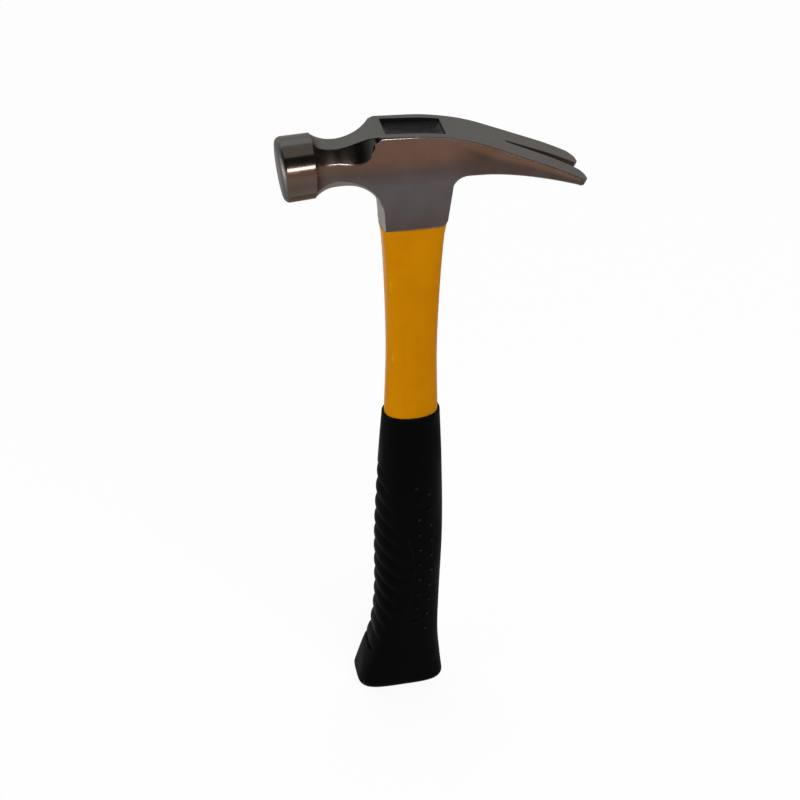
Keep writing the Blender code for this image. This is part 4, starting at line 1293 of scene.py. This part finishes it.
# %% [markdown]
# Masks from the surface's own place and direction choose between the tones, so the finish stays put
# when the camera moves. A place is X from the handle axis or a height over the socket's underside. A
# tilt is one part of the direction that the surface faces: Z is 1 on top and -1 below, X is -1 at the
# front. Two numbers are a range over which a mask changes, four are a rise and a fall.

# %% Steel: masks
FLARE_X = (-0.0455, -0.0450, -0.0400, -0.0340)  # from the bell's rear edge to the neck
BELL_END = FLARE_X[:2]
FLARE_TILT = (0.6, 0.8)
DULL_TILT = (-0.6, -0.35)
LINE_X = (-0.018, -0.015)  # where the painted dark line along the upper edges of the cheeks starts
# The socket's front end, left as forged and painted lighter as a reflection:
SOCKET_END_X = (-0.021, -0.019)
SOCKET_END_HEIGHT = (0.012, 0.016)
SOCKET_END_TILT = (-0.85, -0.7)
# Where the dark reflection is painted on the chamfers' run-out:
RUN_OUT_X = (-0.030, -0.026)
RUN_OUT_HEIGHT = (0.034, 0.036)
RUN_OUT_TILT = (-0.35, -0.15)
# Where the highlights are painted, along X and by tilt:
NECK_EDGE_X = (-0.0410, -0.0385, -0.031, -0.027)
NECK_EDGE_TILT = (0.08, 0.2, 0.48, 0.53)
FRONT_EDGE_X = (-0.0195, -0.0180, -0.006, 0.004)
FRONT_EDGE_TILT = (0.2, 0.4, 0.52, 0.6)
EYE_RIM = (-0.00005, 0.00012)  # how far past the eye's edge its walls' tone fades
SLOT_SIDE_FADE = 0.0004
SLOT_END_FADE = 0.0006
SLOT_TILT = (0.5, 0.7)
TIP_TILT = (0.55, 0.75)
TIP_RAW = 0.5  # the ends of the tips are only half raw


def inside_eye(tree, where):
    """1 on the walls of the eye."""
    centred = calculate(tree, "ADD", where["X"], EYE_TOP_SHIFT)
    past_end = calculate(tree, "SUBTRACT", calculate(tree, "ABSOLUTE", centred), EYE_TOP_LENGTH / 2)
    across = calculate(tree, "ABSOLUTE", where["Y"])
    past_side = calculate(tree, "SUBTRACT", across, EYE_TOP_WIDTH / 2)
    return falling(tree, calculate(tree, "MAXIMUM", past_end, past_side), *EYE_RIM)


def left_raw(tree, where, facing):
    """1 on the walls of the nail slot, less on the ends of the tips."""
    across = calculate(tree, "ABSOLUTE", where["Y"])
    steep = falling(tree, calculate(tree, "ABSOLUTE", facing["Z"]), *SLOT_TILT)
    within = falling(tree, across, SLOT_MOUTH / 2, SLOT_MOUTH / 2 + SLOT_SIDE_FADE)
    beyond = rising(tree, where["X"], SLOT_REACH - SLOT_END_FADE, SLOT_REACH)
    tip = rising(tree, where["X"], CLAW_REACH - TIP_ROUND, CLAW_REACH - TIP_ROUND / 2)
    end = product(tree, rising(tree, facing["X"], *TIP_TILT, 0.0, TIP_RAW), tip)
    return calculate(tree, "MAXIMUM", product(tree, steep, within, beyond), end)


def duller(tree, where, facing):
    """1 on the sides of the flare behind the bell and on the undersides, where no belt reaches."""
    flare = product(tree, band(tree, where["X"], *FLARE_X), falling(tree, facing["Z"], *FLARE_TILT))
    return calculate(tree, "MAXIMUM", flare, falling(tree, facing["Z"], *DULL_TILT))


def socket_end(tree, above, where, facing):
    """1 on the socket's front end below the neck."""
    front = falling(tree, facing["X"], *SOCKET_END_TILT)
    low = falling(tree, above, *SOCKET_END_HEIGHT)
    return product(tree, front, rising(tree, where["X"], *SOCKET_END_X), low)


def run_out(tree, above, where, facing):
    """1 where the neck's upper chamfers run out at the cheek."""
    front = falling(tree, facing["X"], *RUN_OUT_TILT)
    high = rising(tree, above, *RUN_OUT_HEIGHT)
    return product(tree, front, rising(tree, where["X"], *RUN_OUT_X), high)


def painted_highlight_edges(tree, where, facing):
    """1 where a highlight is painted: on the lower edges of the neck's upper chamfers and on the cheeks'
    upper edges in front.
    """
    neck = product(tree, band(tree, facing["Z"], *NECK_EDGE_TILT), band(tree, where["X"], *NECK_EDGE_X))
    across = calculate(tree, "ABSOLUTE", where["Y"])
    outer = rising(tree, across, CHEEK_HALF - FRONT_EDGE_BREAK, CHEEK_HALF - FRONT_EDGE_BREAK / 2)
    tilted = band(tree, facing["Z"], *FRONT_EDGE_TILT)
    front = product(tree, outer, tilted, band(tree, where["X"], *FRONT_EDGE_X))
    return calculate(tree, "MAXIMUM", front, neck)


def chamfer_tone(tree, where):
    """Painted reflection on slanted faces: darker and browner on the neck and along the cheeks than on
    the bell.
    """
    tone = blend(tree, rising(tree, where["X"], *BELL_END), BELL_SLANT_REFLECTION_TONE, NECK_DARK_REFLECTION_TONE)
    return blend(tree, rising(tree, where["X"], *LINE_X), tone, EDGE_LINE_DARK_REFLECTION_TONE)


print(f"the bell's finish ends {BELL_END[1] + FACE_REACH:.4f} behind the striking face")

# %% [markdown]
# The material lays the tones over each other like coats of paint, each where its mask is 1. The same
# masks then roughen or polish the steel.

# %% Steel: the material
SLANTED_TILT = (0.30, 0.46)
FORWARD_TILT = (-0.6, -0.4)
UNDER_TILT = (-0.5, -0.25)
UPWARD_FROM = (0.62, 0.87)  # tilt where the top faces' tone starts, on the bell the second
UPWARD_FULL = 0.95
SATIN = (0.19, 0.25)  # roughness between and on the belt marks
ROUGHER = {"clouds": 0.04, "bell": -0.08, "face": 0.3, "dull": 0.16, "forged_and_reflection": 0.3, "unground": 0.4}
LACQUER = 0.12
BELT_DEPTH = 0.000003


def steel_masks(tree, where, facing):
    above = calculate(tree, "SUBTRACT", where["Z"], HEAD_BASE)
    bell = falling(tree, where["X"], *BELL_END)
    forward = falling(tree, facing["X"], *FORWARD_TILT)
    eye = inside_eye(tree, where)
    raw_and_shade = left_raw(tree, where, facing)
    belt_marks = {"Fineness": (3800.0, 3800.0, 55.0), "Low": 0.3, "High": 0.72}
    return {
        "bell": bell,
        "forward": forward,
        "face": product(tree, forward, bell),
        "slanted": rising(tree, facing["Z"], *SLANTED_TILT),
        "upward": rising(tree, facing["Z"], between(tree, bell, *UPWARD_FROM), UPWARD_FULL),
        "under": falling(tree, facing["Z"], *UNDER_TILT),
        "dull": duller(tree, where, facing),
        "forged_and_reflection": socket_end(tree, above, where, facing),
        "run_out": run_out(tree, above, where, facing),
        "painted_highlight": painted_highlight_edges(tree, where, facing),
        "eye": eye,
        "raw_and_shade": raw_and_shade,
        "unground": calculate(tree, "MAXIMUM", eye, raw_and_shade),
        "clouds": use(tree, "cloudiness", {"Scale": 70.0}),
        "belt": use(tree, "drawn_lines", belt_marks),
        "worn": use(tree, "worn_edges", {"Start": 0.56, "Full": 0.66, "Breakup Scale": 420.0}),
    }


def steel_tone(tree, where, masks):
    # painted reflection: the sides' colour changes in bands by height and depth
    tone = side_reflection_tone(tree, where)
    coats = (
        # painted reflection of the floor on undersides
        (masks["under"], blend(tree, masks["bell"], UNDER_FLOOR_REFLECTION_TONE, BELL_UNDER_FLOOR_REFLECTION_TONE)),
        # forged socket end, lighter as a painted reflection
        (masks["forged_and_reflection"], FORGED_END_AND_REFLECTION_TONE),
        # painted reflection on slanted faces, dark on the neck and along the edges
        (masks["slanted"], chamfer_tone(tree, where)),
        # painted dark reflection where the chamfers run out
        (masks["run_out"], RUN_OUT_DARK_REFLECTION_TONE),
        (masks["upward"], TOP_TONE),
        # painted highlight on edges
        (masks["painted_highlight"], PAINTED_HIGHLIGHT_TONE),
        (masks["face"], FACE_TONE),
        (product(tree, masks["clouds"], HAZE_SHARE), HAZE_TONE),
        (product(tree, masks["belt"], BELT_SHARE), BELT_TONE),
        (product(tree, masks["worn"], RUBBED_SHARE), RUBBED_TONE),
        # slot walls and tip ends: raw finish, darker also as painted shade
        (masks["raw_and_shade"], RAW_AND_SHADE_TONE),
        # eye walls in painted shade, the rear wall in painted light
        (masks["eye"], blend(tree, masks["forward"], *EYE_SHADE_AND_LIGHT_TONES)),
    )
    for mask, coat in coats:
        tone = blend(tree, mask, tone, coat)
    return tone


def make_steel():
    constants = {"Metallic": 1.0, "Specular Tint": (0.36, 0.34, 0.33), "Coat Roughness": 0.06}
    material, tree, shader = start_material("satin_steel", constants)
    coordinates = add_node(tree, "ShaderNodeTexCoord").outputs
    facing = add_node(tree, "ShaderNodeSeparateXYZ", {0: coordinates["Normal"]}).outputs
    where = add_node(tree, "ShaderNodeSeparateXYZ", {0: coordinates["Object"]}).outputs
    masks = steel_masks(tree, where, facing)
    roughness = between(tree, masks["belt"], *SATIN)
    for name, change in ROUGHER.items():
        roughness = calculate(tree, "ADD", roughness, product(tree, masks[name], change))
    fill(tree, shader, {"Coat Weight": between(tree, masks["unground"], LACQUER, 0.0)})
    finish_surface(tree, shader, steel_tone(tree, where, masks), roughness, masks["belt"], BELT_DEPTH)
    return material


satin_steel = make_steel()

# %% [markdown]
# The resin is nearly black and half matt, a little cloudy where it cured unevenly. The core below it is
# a pultruded rod: pale glass fibres run its whole length in a straw-coloured binder.

# %% Materials: resin and glass fibre
RESIN_TONES = ((0.002, 0.0023, 0.0023), (0.005, 0.0054, 0.0054))
RESIN_ROUGHNESS = (0.42, 0.56)
RESIN_RELIEF = 0.00004
FIBRE_TONES = ((0.50, 0.45, 0.30), (0.72, 0.69, 0.58))  # binder and fibres
FIBRE_ROUGHNESS = (0.52, 0.36)
FIBRE_RELIEF = 0.00002


def make_resin():
    material, tree, shader = start_material("dark_resin", {"Specular IOR Level": 0.16})
    clouds = use(tree, "cloudiness", {"Scale": 260.0})
    grain = use(tree, "fine_grain", {"Scale": 1800.0, "Coarse Scale": 450.0})
    tone = blend(tree, clouds, *RESIN_TONES)
    roughness = between(tree, clouds, *RESIN_ROUGHNESS)
    finish_surface(tree, shader, tone, roughness, grain, RESIN_RELIEF)
    return material


def make_glass_fibre():
    material, tree, shader = start_material("glass_fibre", {"Specular IOR Level": 0.4})
    fibres = use(tree, "drawn_lines", {"Fineness": (2600.0, 2600.0, 18.0)})
    tone = blend(tree, fibres, *FIBRE_TONES)
    roughness = between(tree, fibres, *FIBRE_ROUGHNESS)
    finish_surface(tree, shader, tone, roughness, fibres, FIBRE_RELIEF)
    return material


dark_resin = make_resin()
glass_fibre = make_glass_fibre()

# %% [markdown]
# The jacket's amber is moulded through: the colour lies in the plastic itself. It shows slow flow
# clouds, a faint orange peel from the mould and slightly paler, rubbed edges at the shoulder.

# %% Material: amber plastic
AMBER_TONES = ((0.415, 0.154, 0.0002), (0.45, 0.173, 0.0002))
AMBER_FLOW_TONE = (0.375, 0.13, 0.0002)
AMBER_FLOW_SHARE = 0.2
AMBER_RUBBED_TONE = (0.68, 0.33, 0.04)
AMBER_RUBBED_SHARE = 0.4
AMBER_ROUGHNESS = (0.24, 0.36)
AMBER_RELIEF = 0.00003


def make_amber():
    material, tree, shader = start_material("amber_plastic", {"Specular IOR Level": 0.012})
    clouds = use(tree, "cloudiness", {"Scale": 45.0})
    sockets = {"Fineness": (260.0, 260.0, 14.0), "Low": 0.25, "High": 0.75}
    flow = use(tree, "drawn_lines", sockets)
    worn = use(tree, "worn_edges", {"Breakup Scale": 300.0})
    grain = use(tree, "fine_grain", {"Scale": 700.0, "Coarse Scale": 160.0})
    tone = blend(tree, clouds, *AMBER_TONES)
    tone = blend(tree, product(tree, flow, AMBER_FLOW_SHARE), tone, AMBER_FLOW_TONE)
    tone = blend(tree, product(tree, worn, AMBER_RUBBED_SHARE), tone, AMBER_RUBBED_TONE)
    roughness = between(tree, clouds, *AMBER_ROUGHNESS)
    finish_surface(tree, shader, tone, roughness, grain, AMBER_RELIEF)
    return material


amber_plastic = make_amber()

# %% [markdown]
# The rubber is black with a fine matt grain. Hands polish the crests of ribs and nubs, so crests are a
# shade greyer and smoother than the valleys between them.

# %% Material: black rubber
RUBBER_TONES = ((0.0004, 0.0004, 0.0004), (0.0010, 0.0009, 0.0008))
RUBBER_WORN_TONE = (0.024, 0.024, 0.023)
RUBBER_WORN_SHARE = 0.6
RUBBER_ROUGHNESS = (0.48, 0.62)
RUBBER_POLISH = 0.1  # how much smoother the crests are
RUBBER_RELIEF = 0.00004


def make_rubber():
    material, tree, shader = start_material("black_rubber", {"Specular IOR Level": 0.02})
    clouds = use(tree, "cloudiness", {"Scale": 55.0})
    worn = use(tree, "worn_edges", {"Breakup Scale": 350.0})
    grain = use(tree, "fine_grain", {"Scale": 2600.0, "Coarse Scale": 900.0})
    tone = blend(tree, clouds, *RUBBER_TONES)
    tone = blend(tree, product(tree, worn, RUBBER_WORN_SHARE), tone, RUBBER_WORN_TONE)
    roughness = between(tree, clouds, *RUBBER_ROUGHNESS)
    roughness = calculate(tree, "SUBTRACT", roughness, product(tree, worn, RUBBER_POLISH))
    finish_surface(tree, shader, tone, roughness, grain, RUBBER_RELIEF)
    return material


black_rubber = make_rubber()

# %% [markdown]
# Each finer mesh now takes the place of its solid: it rides on the same body, names the slot of its
# finish and hides the plain solid. The core stays a CAD node, because its shape is already right.

# %% Dress the frame
def dress(piece, node, material):
    piece.data.materials.append(material)
    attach(piece, "root")
    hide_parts(node)
    print(piece.name, "stands for", node)


dress(forged_head, "hammer_head", satin_steel)
dress(poured_resin, "eye_epoxy", dark_resin)
dress(amber_jacket, "handle_jacket", amber_plastic)
dress(ribbed_grip, "rubber_grip", black_rubber)
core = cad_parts["fiberglass_core"]
core.data.materials.clear()
core.data.materials.append(glass_fibre)

# %% [markdown]
# The set is a pale floor under soft light. The floor carries the shadow, and part of its white is its
# own for the camera and for reflections, so that steel shows the same floor as the eye does.

# %% Floor
FLOOR_HALF = 6.0
FLOOR_DROP = 0.0002
FLOOR_PAPER = (0.9, 0.9, 0.9)
FLOOR_OWN_WHITE = 0.88  # share of the floor's own white where it is seen
FLOOR_GLOW = 1.03
FLOOR_CORNERS = ((-1, -1), (1, -1), (1, 1), (-1, 1))


def make_floor_paper():
    material = bpy.data.materials.new("pale_floor")
    material.use_nodes = True
    tree = material.node_tree
    tree.nodes.clear()
    ray = add_node(tree, "ShaderNodeLightPath").outputs
    seen = calculate(tree, "ADD", ray["Is Camera Ray"], ray["Is Glossy Ray"])
    seen = calculate(tree, "MINIMUM", calculate(tree, "ADD", seen, ray["Is Transmission Ray"]), 1.0)
    paper = add_node(tree, "ShaderNodeBsdfDiffuse", {"Color": FLOOR_PAPER}).outputs[0]
    white = add_node(tree, "ShaderNodeEmission", {"Strength": FLOOR_GLOW}).outputs[0]
    share = product(tree, seen, FLOOR_OWN_WHITE)
    surface = add_node(tree, "ShaderNodeMixShader", {0: share, 1: paper, 2: white}).outputs[0]
    add_node(tree, "ShaderNodeOutputMaterial", {"Surface": surface})
    return material


def make_floor():
    bm = bmesh.new()
    corners = [(x * FLOOR_HALF, y * FLOOR_HALF, -FLOOR_DROP) for x, y in FLOOR_CORNERS]
    bm.faces.new([bm.verts.new(corner_point) for corner_point in corners])
    mesh = bpy.data.meshes.new("floor")
    bm.to_mesh(mesh)
    bm.free()
    mesh.materials.append(make_floor_paper())
    floor = bpy.data.objects.new("floor", mesh)
    bpy.context.scene.collection.objects.link(floor)
    print(floor.name, "is", 2 * FLOOR_HALF, "m wide")


make_floor()

# %% [markdown]
# Steel is only as good as what it mirrors. The sky of the set is pale at the horizon and dark overhead,
# which gives the dark band on the bell. The camera itself sees plain white beyond the floor.

# %% World
HORIZON = (0.85, 0.85, 0.85)
SHADED_HORIZON = (0.40, 0.40, 0.40)  # on the side that the claw points to
OVERHEAD = (0.05, 0.05, 0.05)
SHADED_FROM = (-0.3, 0.8)  # X of the direction over which the horizon darkens
DARK_FROM = (0.12, 0.50)  # Z of the direction over which the sky darkens
WHITE = (1.0, 1.0, 1.0)


def make_world():
    world = bpy.data.worlds.new("studio")
    bpy.context.scene.world = world
    world.use_nodes = True
    tree = world.node_tree
    direction = add_node(tree, "ShaderNodeTexCoord").outputs["Generated"]
    towards = add_node(tree, "ShaderNodeSeparateXYZ", {0: direction}).outputs
    sky = blend(tree, rising(tree, towards["X"], *SHADED_FROM), HORIZON, SHADED_HORIZON)
    sky = blend(tree, rising(tree, towards["Z"], *DARK_FROM), sky, OVERHEAD)
    seen = add_node(tree, "ShaderNodeLightPath").outputs["Is Camera Ray"]
    fill(tree, tree.nodes["Background"], {"Color": blend(tree, seen, sky, WHITE)})
    print("world", world.name)


make_world()

# %% [markdown]
# Four soft lamps do the rest. A long, low strip in front draws the bright line on the bell, a low fill
# on the left lights the jacket's side and the socket's front end, a tall wall behind greys the top
# faces, and a weak lamp overhead lifts the floor.

# %% Lamps
AIM_HEIGHT = 0.30
FILL_HEIGHT = 0.18
STRIP_X = 0.55
STRIP_DISTANCE = 1.7
STRIP_ELEVATION = math.radians(24)
STRIP_Y = -STRIP_DISTANCE * math.cos(STRIP_ELEVATION)
STRIP_HEIGHT = AIM_HEIGHT + STRIP_DISTANCE * math.sin(STRIP_ELEVATION)
LAMPS = (  # name, place, aim, width and height, brightness of its face
    ("front_strip", (STRIP_X, STRIP_Y, STRIP_HEIGHT), (STRIP_X, 0.0, AIM_HEIGHT), (1.7, 0.26), 16.0),
    ("left_fill", (-1.8, -0.3, FILL_HEIGHT), (0.0, 0.0, FILL_HEIGHT), (1.6, 0.36), 10.0),
    ("back_wall", (0.0, 2.13, 1.61), (0.0, 0.23, 0.508), (5.0, 3.5), 1.0),
    ("overhead", (0.0, 0.0, 2.4), (0.0, 0.0, AIM_HEIGHT), (3.0, 1.8), 0.5),
)


def add_lamp(name, place_at, aim, size, radiance):
    """A soft rectangular lamp whose face has the given brightness."""
    data = bpy.data.lights.new(name, "AREA")
    data.shape = "RECTANGLE"
    data.size = size[0]
    data.size_y = size[1]
    data.energy = radiance * math.pi * size[0] * size[1]
    lamp = bpy.data.objects.new(name, data)
    lamp.location = place_at
    lamp.rotation_mode = "QUATERNION"
    lamp.rotation_quaternion = (Vector(aim) - Vector(place_at)).to_track_quat("-Z", "Y")
    lamp.visible_camera = False
    bpy.context.scene.collection.objects.link(lamp)
    print(name, f"{data.energy:.1f} W")


for lamp_values in LAMPS:
    add_lamp(*lamp_values)

# %% [markdown]
# The camera stands in front of the near cheek, a little to the left and well above, with a short
# telephoto lens, as for a catalogue picture. Its roll is the small tilt of a hand-held camera.

# %% Camera
AZIMUTH = math.radians(-11.8346)
ELEVATION = math.radians(36.1159)
ROLL = math.radians(0.2974)
DISTANCE = 0.83417
TARGET = Vector((-0.00532, 0.0, 0.182906))
FOCAL_PIXELS = 1715.57
IMAGE_PIXELS = 800
SENSOR = 36.0
NEAREST = 0.01  # the camera sees nothing closer than this


def make_camera():
    flat = math.cos(ELEVATION)
    back = Vector((math.sin(AZIMUTH) * flat, -math.cos(AZIMUTH) * flat, math.sin(ELEVATION)))
    right = Vector((math.cos(AZIMUTH), math.sin(AZIMUTH), 0))
    up = back.cross(right)
    rolled_right = right * math.cos(ROLL) + up * math.sin(ROLL)
    rolled_up = up * math.cos(ROLL) - right * math.sin(ROLL)
    data = bpy.data.cameras.new("camera")
    data.sensor_width = SENSOR
    data.lens = FOCAL_PIXELS / IMAGE_PIXELS * SENSOR
    data.clip_start = NEAREST
    camera = bpy.data.objects.new("camera", data)
    turn = Matrix((rolled_right, rolled_up, back)).transposed().to_4x4()
    camera.matrix_world = Matrix.Translation(TARGET + back * DISTANCE) @ turn
    bpy.context.scene.collection.objects.link(camera)
    bpy.context.scene.camera = camera
    print(f"camera lens {data.lens:.1f} mm")


make_camera()
bpy.context.scene.view_settings.view_transform = "Standard"
